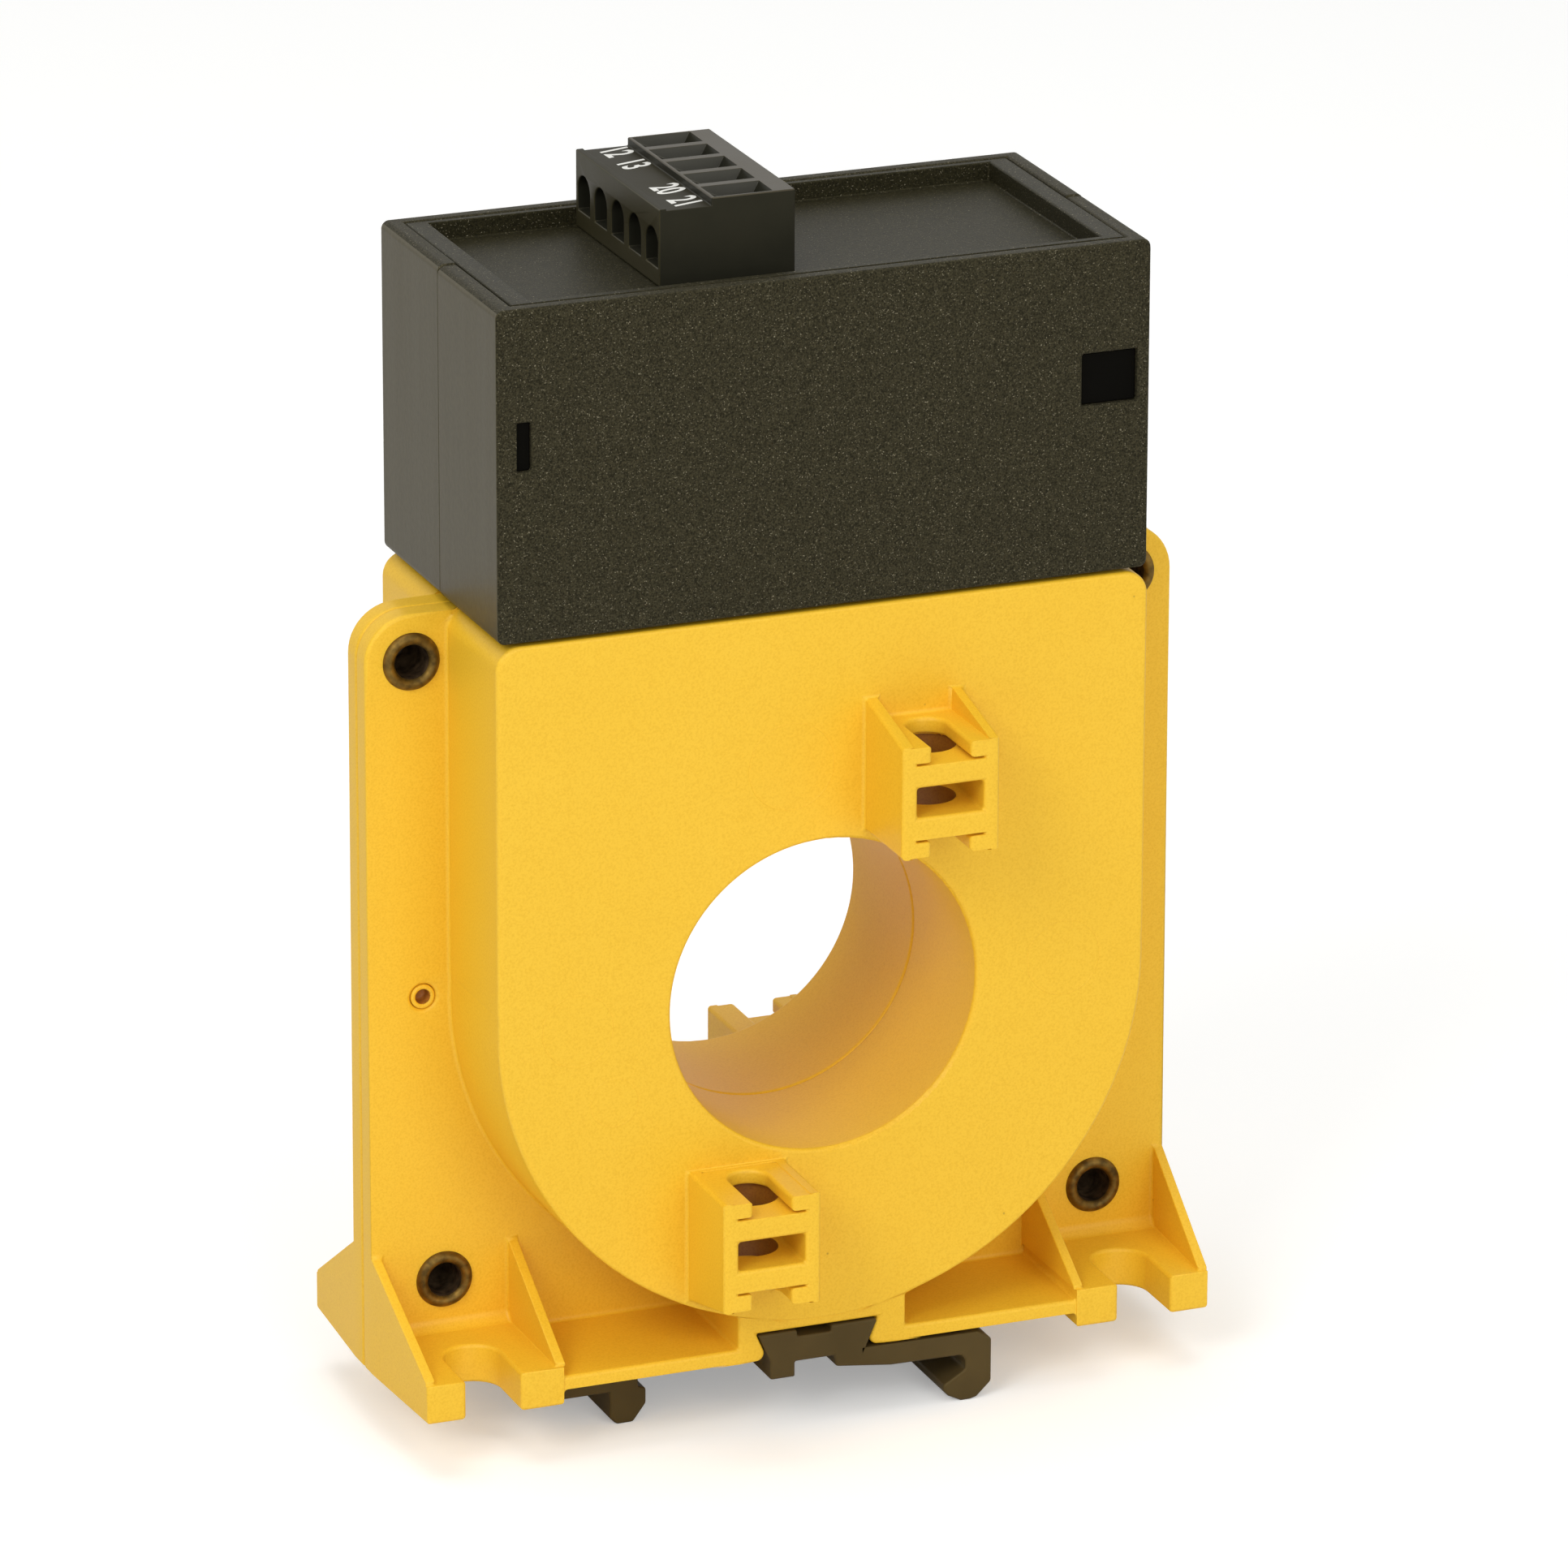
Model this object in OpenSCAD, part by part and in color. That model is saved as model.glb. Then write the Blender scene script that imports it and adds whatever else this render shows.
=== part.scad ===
// Residual current transformer with built-in electronics, in millimetres.
// The origin is the middle of the window's axis, +Y runs into the window from the
// front, +X is to the right as seen from the front, and +Z is up.

/* [Window and housing] */
// Radius of the clear window through the housing
window_r = 17.5; // [16:0.1:18.5]
// Radius of the rounding at the window's mouth
mouth_round = 0.5; // [0.3:0.1:0.8]
// Depth of the housing from front face to rear face
depth = 35.4; // [33:0.2:39]
// Half of the body's width, and the radius of its round lower end
body_r = 36.95; // [36:0.05:38]
// Height of the body's top face above the window's axis
body_top = 43.2; // [42.5:0.1:46]
// Corner radius of the body's top
body_corner = 2.6; // [1.8:0.1:4]
// Wall of the yellow housing
wall = 1.6; // [1.2:0.1:2]

/* [Flange and feet] */
// Thickness of the flange plate of one half
flange_t = 2.8; // [2.4:0.1:3.4]
// Reach of the flange beyond the body, to each side
flange_reach = 9.25; // [9:0.05:11]
// Corner radius at the flange's top, centred on the upper rivets
flange_corner = 5.2; // [4.4:0.1:6]
// Taper of a foot's outer side, from the flange to the foot's end
foot_taper = 0.9; // [0.2:0.1:1.2]
// Drop of the feet's underside below the body's round end
foot_reach = 5.8; // [5.4:0.05:6.5]
// Thickness of a foot
foot_t = 4.4; // [3.6:0.1:5.2]
// Width of a foot at the flange
foot_w = 16.45; // [15.7:0.05:16.7]
// Distance of a fixing slot from the flange's side
slot_in = 8.45; // [7.8:0.05:9.2]
// Width of a fixing slot
slot_w = 6.2; // [5:0.1:7]
// Depth of a fixing slot from the foot's end
slot_l = 9.7; // [8:0.1:11]
// Thickness of a gusset
gusset_t = 1.1; // [0.9:0.1:1.5]
// Height of a gusset at the flange
gusset_h = 9.3; // [7:0.1:11]
// Thickness of the web between the feet
web_t = 1.55; // [1.2:0.05:2]
// Height of the web's top above the feet's underside
web_up = 3.25; // [3:0.05:3.4]

/* [Clip groove] */
// Half of the width of the base block that holds the groove
block_hw = 9.7; // [9.4:0.1:10.5]
// Offset of the groove from the middle
groove_x = -0.55; // [-0.8:0.05:0]
// Half of the groove's width at its ceiling
groove_top_hw = 7.05; // [6.6:0.05:7.3]
// Half of the groove's width between the lips
groove_lip_hw = 5.65; // [5.2:0.05:5.9]
// Radius of the lips' rounded edges
lip_round = 0.9; // [0.6:0.1:1]
// Wall between the body's round end and the groove's ceiling
groove_roof = 1.05; // [0.85:0.05:1.4]
// Height of the groove from the lips' underside to its ceiling
groove_h = 3.2; // [3:0.05:3.5]

/* [Fixing lugs] */
// Distance of a lug's middle from the window's axis, sideways
lug_x = 10.05; // [9.5:0.05:11]
// Width of a lug
lug_w = 11.1; // [10.6:0.1:12]
// Depth of a lug in front of the face
lug_d = 10.55; // [10:0.05:12]
// Set-back of the lug's outer plate from the body's round end
lug_in = 6.55; // [5.5:0.05:7]
// Rise of the cheeks from the front to the wall
lug_rise = 2.5; // [1.5:0.1:3.2]
// Thickness of a cheek
lug_cheek = 1.25; // [1:0.05:1.6]
// Width of the screw slot in the end plates
lug_slot_w = 4.4; // [4.2:0.1:4.8]
// Radius of the well behind the screw slot
lug_well_r = 3.0; // [2.6:0.1:3.3]
// Width of the nut window
lug_window_w = 7.6; // [7:0.1:8]
// Height of the nut window
lug_window_h = 3.3; // [2.8:0.1:3.6]

/* [Rivets and pins] */
// Distance of a lower rivet from the flange's side
rivet_low_in = 8.3; // [7.6:0.1:9.2]
// Height of the lower rivets above the feet's underside
rivet_low_up = 10.15; // [9.6:0.05:10.8]
// Outer radius of a rivet's shank
rivet_r = 2.25; // [2.1:0.05:2.4]
// Bore radius of a rivet
rivet_bore_r = 1.85; // [1.6:0.05:1.9]
// Radius of a rivet's rolled rim
rivet_rim_r = 3.2; // [3:0.05:3.5]
// Distance of a locating pin from the flange's side
pin_in = 6.2; // [5.2:0.1:6.6]
// Radius of a locating pin
pin_r = 1.35; // [1.2:0.05:1.5]

/* [Electronics box] */
// Set-back of the box's side from the body's side
box_in = 0.2; // [0:0.05:0.5]
// Gap between the housing's top and the box
box_gap = 0.4; // [0.3:0.05:0.6]
// Height of the box
box_h = 36.3; // [35:0.1:40]
// Corner radius of the box's outline
box_corner = 0.9; // [0.6:0.1:1.5]
// Side wall of the box
box_side = 2.2; // [2:0.05:2.5]
// Front wall of the box
box_wall = 1.6; // [1.5:0.05:2]
// Floor of the box
box_floor = 2.0; // [1.8:0.05:2.3]
// Rear wall of the box
box_rear_wall = 1.55; // [1.5:0.05:2]
// Offset of the rear half at the parting line, as the halves are fitted
box_step = 0.12; // [0.05:0.01:0.2]
// Depth of the tray in the top cover
tray_depth = 2.1; // [1.6:0.1:2.6]
// Width of the tray's rim
tray_rim = 2.35; // [2:0.05:2.6]
// Width of the light guide's slot
guide_w = 1.6; // [1.4:0.05:2]
// Height of the light guide's slot
guide_h = 5.3; // [4.6:0.1:6]
// Distance of the light guide's slot from the box's side
guide_edge = 2.25; // [2.2:0.05:2.6]
// Width and height of the blanked opening
blank_w = 6.3; // [5.6:0.1:6.8]
// Height of the blanked opening
blank_h = 5.7; // [5:0.1:6.4]
// Distance of the blanked opening from the box's side
blank_edge = 1.4; // [1.2:0.05:1.8]
// Drop of both openings' lower edge below the circuit board's top
openings_drop = 2.75; // [2.4:0.05:3.4]

/* [Terminal plug] */
// Pitch of the poles
pitch = 5.0; // [4.9:0.01:5.08]
// Shortening of the plug against five pitches
plug_trim = 0.4; // [0.2:0.1:0.6]
// Width of the plug
plug_w = 15.2; // [15:0.1:16]
// Distance of the plug's right side from the middle
plug_right = -0.3; // [-0.6:0.1:0.4]
// Height of the label face above the tray's floor
plug_h = 8.3; // [7.8:0.1:9.4]
// Extra height of the raised part over the label face
plug_raise = 0.9; // [0.6:0.1:1.2]
// Width of the raised part
raised_w = 9.35; // [9.1:0.05:9.6]
// Length of a driver pocket
pocket_l = 6.5; // [6:0.1:6.8]
// Width of a driver pocket
pocket_w = 3.9; // [3.6:0.1:4]
// Width of a wire entry
entry_w = 3.6; // [3.2:0.1:3.8]
// Height of a wire entry's crown below the label face
entry_down = 2.2; // [2:0.1:3]

/* [Rail clip] */
// Length of the clip along the groove
clip_l = 30; // [26:0.5:33]
// Width of the rail that the clip grips
rail_w = 35; // [34.8:0.05:35]
// Distance of the right hook's notch from the middle
notch_x = 16.75; // [16.5:0.05:17]
// Depth of the arm below the groove's lips
arm_t = 2.7; // [2.5:0.05:2.9]
// Reach of the hooks below the arm
hook_l = 5.4; // [4.8:0.1:5.8]
// Distance of the left hook behind the clip's front
hook_back = 7.4; // [6:0.1:9]
// Reach of a tooth beyond its notch
tooth = 2.6; // [2.2:0.1:2.8]

/* [Magnetic core] */
// Gap between the window's tube and the winding
winding_gap_in = 1.0; // [0.6:0.1:1.4]
// Gap between the winding and the body's round wall
winding_gap_out = 1.85; // [1:0.05:2.6]
// Width of the core's tape
core_w = 18.4; // [16:0.2:20]

/* [Hidden] */
$fn = 48;
eps = 0.01;

// clearances
fit = 0.05;
loose = 0.1;
slide_gap = 0.15;

// housing
hd = depth / 2;
cavity_r0 = window_r + wall;
flange_y = -flange_t;
flange_top = body_top - 0.2;
flange_hw = body_r + flange_reach;
foot_drop = body_r + foot_reach;
foot_top = -foot_drop + foot_t;
web_drop = foot_drop - web_up;
groove_top = body_r + groove_roof;
lip_drop = groove_top + groove_h;
lug_z0 = window_r + mouth_round;
lug_z1 = body_r - lug_in;
foot_hw = flange_hw - foot_taper;
foot_inner = flange_hw - foot_w;
slot_x = flange_hw - slot_in;
rivet_top_x = flange_hw - flange_corner;
rivet_top_z = flange_top - flange_corner;
rivet_low_x = flange_hw - rivet_low_in;
rivet_low_z = foot_drop - rivet_low_up;
pin_x = flange_hw - pin_in;
face_back = 0.15;
port_hx = 15;
port_hy = 8;
neck_t = 2;
neck_lip = 1.2;
lip_t = 0.95;

// box
box_hw = body_r - box_in;
box_z0 = body_top + box_gap;
box_z1 = box_z0 + box_h;
floor_top = box_z0 + box_floor;
inner_hx = box_hw - box_side;
inner_y0 = -hd + box_wall;
inner_y1 = hd - box_rear_wall;
tray_z = box_z1 - tray_depth;
cover_t = 1.6;
cover_z = tray_z - cover_t;
tongue = 0.65;
tongue_z = cover_z + 0.3;
tongue_h = 1.1;
seam_lip = 1.5;
recess = 0.5;
blank_seat = 1.0;
seam_lip_t = 1.0;

// circuit board
board_down = 11.2;
board_t = 1.6;
board_top = cover_z - board_down;
board_z = board_top - board_t;
openings_z = board_top - openings_drop;
board_hx = inner_hx - loose;
board_y0 = inner_y0 + 0.3;
board_y1 = inner_y1 - 0.3;
rib_t = 1.3;
rib_h = 1.5;
chip_t = 1.2;
main_chip_in = 15.45;
main_chip_x = board_hx - main_chip_in;
main_chip_hw = 5;
amp_chip_in = 11.45;
amp_chip_x = amp_chip_in - board_hx;
amp_chip_hx = 3;
amp_chip_hy = 2;
ref_chip_in = 19.45;
ref_chip_x = ref_chip_in - board_hx;
ref_chip_y = 8.5;
ref_chip_hx = 2;
ref_chip_hy = 2.5;
converter_in = 17.95;
converter_x = board_hx - converter_in;
converter_hx = 10.5;
converter_hy = 9;
converter_h = 8;
can_in = 9.45;
can_x = can_in - board_hx;
can_y = -2.75;
can_gap = 10.5;
can_r = 4;
can_h = 8.5;
led_l = 1.5;
led_h = 1.2;
connector_hx = 5;
connector_hy = 2.5;
connector_h = 6;
lead_r = 0.6;
lead_gap = 2;

// terminal plug
poles = 5;
plug_l = poles * pitch - plug_trim;
plug_x1 = plug_right;
plug_x0 = plug_x1 - plug_w;
plug_y1 = inner_y1 - 0.95;
plug_cy = plug_y1 - plug_l / 2;
label_z = tray_z + plug_h;
raised_z = label_z + plug_raise;
raised_x0 = plug_x1 - raised_w;
pocket_x0 = raised_x0 + 0.45;
pocket_x1 = pocket_x0 + pocket_l;
ramp_start = 0.4;
ramp_end = 2.6;
driver_slot = 1.9;
guide_in = 0.7;
guide_down = 1.4;
skirt_in = 2.35;
skirt_end = 1.0;
skirt_l = 8.8;
skirt_hx = plug_w / 2 - skirt_in;
skirt_hy = plug_l / 2 - skirt_end;
skirt_cx = (plug_x0 + plug_x1) / 2;
skirt_z = tray_z - skirt_l;
pin_w = 1.0;
pin_down = 3.3;
pin_tail = 1.5;
pin_top = tray_z - pin_down;
chamber_up = 1.4;
chamber_z = tray_z + chamber_up;
chamber_w = 3.6;
entry_z = label_z - entry_down - entry_w / 2;
chamber_top = label_z - entry_down;
spring_t = 0.35;
leaf_t = 0.5;
socket_hw = 1.6;
socket_hy = 1.4;
ridge_w = 0.8;
ridge_h = 0.2;
entry_sill = 0.6;
header_wall = 1.0;

// rail clip
arm_drop = lip_drop + arm_t;
hook_drop = arm_drop + hook_l;
clip_y0 = -hd + 0.1;
clip_y1 = clip_y0 + clip_l;
clip_top = -groove_top - slide_gap;
plate_z = -lip_drop - slide_gap;
hook_w = 3.05;
left_notch_x = notch_x - rail_w - 0.15;
left_hook_w = 3.3;
handle_x = -foot_inner + 0.25;
handle_t = 1.6;
handle_drop = arm_drop + handle_t;
leg_w = 2.9;
leg_up = 0.35;
leg_drop = arm_drop - leg_up;
bridge_up = 0.8;
arm_left = 1.3;
arm_root = 8;

// core
case_wall = 1.2;
case_gap = 0.2;
winding_t = 1.3;
core_r0 = cavity_r0 + winding_gap_in + winding_t + case_wall + case_gap;
core_r1 = body_r - wall - winding_gap_out - winding_t - case_wall - case_gap;
case_r0 = core_r0 - case_gap - case_wall;
case_r1 = core_r1 + case_gap + case_wall;
case_hy = core_w / 2 + case_wall;
winding_r1 = case_r1 + winding_t;
winding_hy = case_hy + winding_t;

yellow = "gold";
black = "#2e2d2b";

function about(middle, half) = [middle - half, middle + half];

// a flat shape in X and Z, drawn out along Y
module along_y(y0, y1) {
    translate([0, y1, 0]) rotate([90, 0, 0]) linear_extrude(height = y1 - y0) children();
}

// a flat shape in Y and Z, drawn out along X
module along_x(x0, x1) {
    translate([x0, 0, 0]) rotate([90, 0, 90]) linear_extrude(height = x1 - x0) children();
}

// a block between two corners
module span(x, y, z) {
    translate([x[0], y[0], z[0]]) cube([x[1] - x[0], y[1] - y[0], z[1] - z[0]]);
}

// a ring about the window's axis, between two radii
module ring(r0, r1, y0, y1) {
    along_y(y0, y1) difference() {
        circle(r = r1, $fn = 96);
        circle(r = r0, $fn = 96);
    }
}

module both_sides() {
    children();
    mirror([1, 0, 0]) children();
}

// rectangle with round corners, from a low corner to a high corner
module round_rect(low, high, r) {
    translate([low[0] + r, low[1]]) square([high[0] - low[0] - 2 * r, high[1] - low[1]]);
    translate([low[0], low[1] + r]) square([high[0] - low[0], high[1] - low[1] - 2 * r]);
    for (x = [low[0] + r, high[0] - r], y = [low[1] + r, high[1] - r])
        translate([x, y]) circle(r = r, $fn = 32);
}

// front view of the body: round below, square with round corners above
module body_outline(inset) {
    r = body_r - inset;
    circle(r = r, $fn = 96);
    translate([0, -inset]) round_rect([-r, 0], [r, body_top], max(body_corner - inset, 0.8));
}

// front view of the flange plate with its feet
module flange_outline() {
    c = flange_corner;
    translate([-flange_hw + c, -web_drop]) square([2 * (flange_hw - c), web_drop + flange_top]);
    translate([-flange_hw, -foot_drop]) square([2 * flange_hw, foot_drop + flange_top - c]);
    for (side = [-1, 1])
        translate([side * (flange_hw - c), flange_top - c]) circle(r = c);
}

// plan of a foot's tapered side, from an inner distance outwards
module side_plan(inner) {
    polygon([[inner, -hd], [foot_hw, -hd], [flange_hw, flange_y], [inner + foot_taper, flange_y]]);
}

// front view of the clip groove, a dovetail whose lips have round edges
module groove_view() {
    lean = atan((groove_top_hw - groove_lip_hw) / (lip_drop - groove_top));
    cx = groove_lip_hw + lip_round * (tan(lean) + 1 / cos(lean));
    cz = -lip_drop + lip_round;
    tx = cx - lip_round * cos(lean);
    tz = cz + lip_round * sin(lean);
    difference() {
        polygon([[-groove_top_hw, -groove_top], [groove_top_hw, -groove_top],
            [tx, tz], [cx, -lip_drop - eps], [-cx, -lip_drop - eps], [-tx, tz]]);
        for (side = [-1, 1]) translate([side * cx, cz]) circle(r = lip_round, $fn = 32);
    }
}

module gusset_side() {
    polygon([[flange_y + eps, foot_top + gusset_h], [-hd + 0.35, foot_top + 0.35],
        [-hd + 0.35, foot_top - eps], [flange_y + eps, foot_top - eps]]);
}

// right foot with its slot and gussets
module foot() {
    difference() {
        translate([0, 0, -foot_drop]) linear_extrude(height = foot_t)
            polygon([[foot_inner, -hd], [foot_hw, -hd], [flange_hw, flange_y],
                [foot_inner, flange_y]]);
        translate([slot_x, -hd + slot_l - slot_w / 2, -foot_drop - 1])
            cylinder(r = slot_w / 2, h = foot_t + 2);
        span([slot_x - slot_w / 2, slot_x + slot_w / 2], [-hd - 1, -hd + slot_l - slot_w / 2],
            [-foot_drop - 1, foot_top + 1]);
    }
    // bead in the corner between foot and flange
    along_x(foot_inner, flange_hw - gusset_t / 2)
        polygon([[flange_y, foot_top], [flange_y - 0.9, foot_top], [flange_y, foot_top + 0.9]]);
    along_x(foot_inner - 0.25, foot_inner - 0.25 + gusset_t) gusset_side();
    intersection() {
        along_x(foot_hw - 2 * gusset_t, flange_hw + 1) gusset_side();
        translate([0, 0, foot_top - 1]) linear_extrude(height = gusset_h + 2)
            side_plan(foot_hw - gusset_t);
    }
}

// fixing lug: a screw slot at each end, a well and a window for the nut
module lug() {
    hw = lug_w / 2;
    hx = lug_window_w / 2;
    mid = (lug_z0 + lug_z1) / 2;
    well_y = -3.55;
    plate = 1.8;
    slit = 0.25;
    difference() {
        union() {
            span([-hw, hw], [-lug_d, wall / 2], [lug_z0, lug_z1]);
            for (side = [-1, 1])
                along_x(side * (hw - lug_cheek / 2) - lug_cheek / 2,
                    side * (hw - lug_cheek / 2) + lug_cheek / 2)
                    polygon([[wall / 2, lug_z1 - 1], [wall / 2, lug_z1 + lug_rise],
                        [0, lug_z1 + lug_rise], [-lug_d, lug_z1 + 0.1], [-lug_d, lug_z1 - 1]]);
        }
        for (end = [0, 1]) {
            z0 = end == 0 ? lug_z0 - 1 : lug_z1 - plate;
            z1 = end == 0 ? lug_z0 + plate : lug_z1 + 1;
            span([-lug_slot_w / 2, lug_slot_w / 2], [-lug_d - 1, well_y], [z0, z1]);
            translate([0, well_y, z0]) cylinder(r = lug_slot_w / 2, h = z1 - z0);
            sz = end == 0 ? lug_z0 + plate : lug_z1 - plate - slit;
            span([-hx, hx], [-lug_d - 1, -2], [sz, sz + slit]);
        }
        // witness step beside the cheeks on the inner end
        span([-hw + lug_cheek, hw - lug_cheek], [-lug_d - 1, -0.4], [lug_z0 - 1, lug_z0 + 0.12]);
        translate([0, well_y, lug_z0 + plate]) cylinder(r = lug_well_r,
            h = lug_z1 - lug_z0 - 2 * plate);
        span([-hx, hx], [-lug_d - 1, -1.2], [mid - lug_window_h / 2, mid + lug_window_h / 2]);
    }
}

// one half of the housing, drawn as the front half; the groove's offset is given
module half_shell(offset_x) {
    difference() {
        union() {
            along_y(-hd, 0) body_outline(0);
            along_y(flange_y, 0) difference() {
                flange_outline();
                translate([-foot_inner, -foot_drop - 1])
                    square([2 * foot_inner, 1 + foot_drop - web_drop - web_t]);
            }
            both_sides() foot();
            // web and base block
            span([-foot_inner - eps, foot_inner + eps], [-hd + face_back, 0],
                [-web_drop - web_t, -web_drop]);
            span([-block_hw, block_hw], [-hd + face_back, 0], [-lip_drop, -body_r * 0.9]);
            // lugs, one the other turned half round
            translate([lug_x, -hd, 0]) lug();
            rotate([0, 180, 0]) translate([lug_x, -hd, 0]) lug();
            // neck that carries the box
            span([-port_hx - neck_t, port_hx + neck_t], [-port_hy - neck_t, 0],
                [body_top - eps, floor_top + 0.15]);
            span([-port_hx - neck_t - neck_lip, port_hx + neck_t + neck_lip],
                [-port_hy - neck_t - neck_lip, 0], [floor_top + 0.15, floor_top + 0.15 + lip_t]);
            // locating pin into the other half
            translate([pin_x, -eps, 0]) rotate([-90, 0, 0]) cylinder(r = pin_r, h = flange_t);
        }
        // room for the core
        difference() {
            along_y(-hd + wall, eps) body_outline(wall);
            along_y(-hd, eps) circle(r = cavity_r0, $fn = 96);
        }
        // window with its rounded mouth
        translate([0, 1, 0]) rotate([90, 0, 0]) cylinder(r = window_r, h = hd + 2, $fn = 96);
        difference() {
            ring(window_r - 1, window_r + mouth_round, -hd - 1, -hd + mouth_round);
            rotate([90, 0, 0]) rotate_extrude($fn = 96)
                translate([window_r + mouth_round, hd - mouth_round]) circle(r = mouth_round, $fn = 32);
        }
        // passage to the box
        span([-port_hx, port_hx], [-port_hy, eps], [body_top - wall - 1, floor_top + 3]);
        // groove for the rail clip
        along_y(-hd - 1, 1) translate([offset_x, 0]) groove_view();
        // rivet holes
        for (side = [-1, 1]) {
            translate([side * rivet_top_x, 1, rivet_top_z]) rotate([90, 0, 0])
                cylinder(r = rivet_r + fit, h = flange_t + 2);
            translate([side * rivet_low_x, 1, -rivet_low_z]) rotate([90, 0, 0])
                cylinder(r = rivet_r + fit, h = flange_t + 2);
        }
        // hole for the other half's pin, and the pin's own blind hole
        translate([-pin_x, 1, 0]) rotate([90, 0, 0]) cylinder(r = pin_r + fit, h = flange_t + 2);
        translate([pin_x, flange_t - 1.6, 0]) rotate([-90, 0, 0])
            cylinder(r = pin_r * 0.62, h = 2);
    }
}

module front_shell() color(yellow) half_shell(groove_x);

module rear_shell() color(yellow) rotate([0, 0, 180]) half_shell(-groove_x);

// hollow rivet with a rolled rim at each end, on its own axis
module rivet(x, z) {
    rim = 0.85;
    bead = (rivet_rim_r - rivet_bore_r) / 2;
    color("#8a6a3a") translate([x, 0, z]) rotate([90, 0, 0]) rotate_extrude() {
        translate([rivet_bore_r, -flange_t - rim / 2])
            square([rivet_r - rivet_bore_r, 2 * flange_t + rim]);
        for (end = [-1, 1]) intersection() {
            translate([rivet_rim_r - bead, end * flange_t]) circle(r = bead, $fn = 32);
            translate([rivet_bore_r, end > 0 ? flange_t : -flange_t - rim])
                square([rivet_rim_r - rivet_bore_r, rim]);
        }
    }
}

module tape_core() color("#7d8187") ring(core_r0, core_r1, -core_w / 2, core_w / 2);

module core_case() color("#c9c2ae") difference() {
    ring(case_r0, case_r1, -case_hy, core_w / 2);
    ring(case_r0 + case_wall, case_r1 - case_wall, -core_w / 2, core_w / 2 + 1);
}

module core_case_lid() color("#c9c2ae") ring(case_r0, case_r1, core_w / 2, case_hy);

module secondary_winding() color("#a8572a") difference() {
    ring(case_r0 - winding_t, winding_r1, -winding_hy, winding_hy);
    ring(case_r0, case_r1, -case_hy, case_hy);
}

module foam_ring(y0, y1) color("#55585c") ring(case_r0, case_r1, y0, y1);

module winding_leads() color("#b8452f")
    for (i = [0:3]) {
        x = (i - 1.5) * lead_gap;
        start = sqrt(pow(winding_r1, 2) - pow(x - lead_r * sign(x), 2)) + loose;
        translate([x, 0, start]) cylinder(r = lead_r, h = board_z - connector_h - fit - start);
    }

// front view of the box, with a step for the half behind the parting line
module box_outline(step) {
    round_rect([-box_hw + step * 0.8, box_z0], [box_hw - step * 0.8, box_z1 + step], box_corner);
}

// what both halves leave free: the neck, the board's room and the cover's seat
module box_room() {
    span([-inner_hx, inner_hx], [inner_y0, inner_y1], [floor_top, box_z1 + 1]);
    span([-port_hx - neck_t - loose, port_hx + neck_t + loose],
        [-port_hy - neck_t - loose, port_hy + neck_t + loose], [box_z0 - 1, floor_top + 1]);
    span([-inner_hx - tongue - loose, inner_hx + tongue + loose],
        [inner_y0 - tongue - loose, inner_y1 + tongue + loose],
        [tongue_z - loose, tongue_z + tongue_h + loose]);
}

// ledges on the side walls that hold the board's edges
module board_ribs(y0, y1) {
    for (z = [board_z - rib_h, board_top]) both_sides()
        span([inner_hx - rib_t, inner_hx + eps], [y0, y1], [z, z + rib_h]);
}

module box_front() color(black) {
    gz = openings_z;
    gx = -box_hw + guide_edge;
    bx = box_hw - blank_edge - blank_w;
    difference() {
        along_y(-hd, 0) box_outline(0);
        box_room();
        // slot of the light guide
        span([gx, gx + guide_w], [-hd - 1, inner_y0 + 1], [gz, gz + guide_h]);
        // stepped opening of the blanking plug
        span([bx, bx + blank_w], [-hd - 1, -hd + blank_seat], [gz, gz + blank_h]);
        span([bx + 1, bx + blank_w - 2.2], [-hd, inner_y0 + 1], [gz + 1, gz + blank_h - 1]);
    }
    board_ribs(inner_y0 + 2, -2);
    // tongue of the parting line
    both_sides() span([inner_hx, inner_hx + seam_lip_t], [-eps, seam_lip],
        [floor_top + 3, cover_z - 3]);
}

module box_rear() color(black) {
    difference() {
        along_y(0, hd) box_outline(box_step);
        box_room();
        both_sides() span([inner_hx - 1, inner_hx + seam_lip_t + loose], [-1, seam_lip + loose],
            [floor_top + 3 - loose, cover_z - 3 + loose]);
    }
    board_ribs(2, inner_y1 - 2);
}

module top_cover() color(black) {
    x = inner_hx - loose;
    difference() {
        union() {
            span([-x, x], [inner_y0 + loose, inner_y1 - loose], [cover_z, box_z1]);
            span([-x - tongue, x + tongue], [inner_y0 + loose - tongue, inner_y1 - loose + tongue],
                [tongue_z, tongue_z + tongue_h]);
        }
        span([-x + tray_rim, x - tray_rim], [inner_y0 + 1.05, inner_y1 - 0.9], [tray_z, box_z1 + 1]);
        // opening that the plug's skirt drops through
        span([skirt_cx - skirt_hx - loose, skirt_cx + skirt_hx + loose],
            [plug_cy - skirt_hy - loose, plug_cy + skirt_hy + loose], [cover_z - 1, tray_z + 1]);
    }
}

module light_guide() color("#3a3936") {
    gz = openings_z;
    gx = -box_hw + guide_edge;
    span([gx + fit, gx + guide_w - fit], [-hd + recess, inner_y0 + 0.2],
        [gz + fit, gz + guide_h - fit]);
}

module blanking_plug() color("#2a2927") {
    gz = openings_z;
    bx = box_hw - blank_edge - blank_w;
    span([bx + loose, bx + blank_w - loose], [-hd + recess, -hd + blank_seat],
        [gz + loose, gz + blank_h - loose]);
    span([bx + 1 + fit, bx + blank_w - 2.2 - fit], [-hd + recess, inner_y0 + 0.2],
        [gz + 1 + fit, gz + blank_h - 1 - fit]);
}

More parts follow.
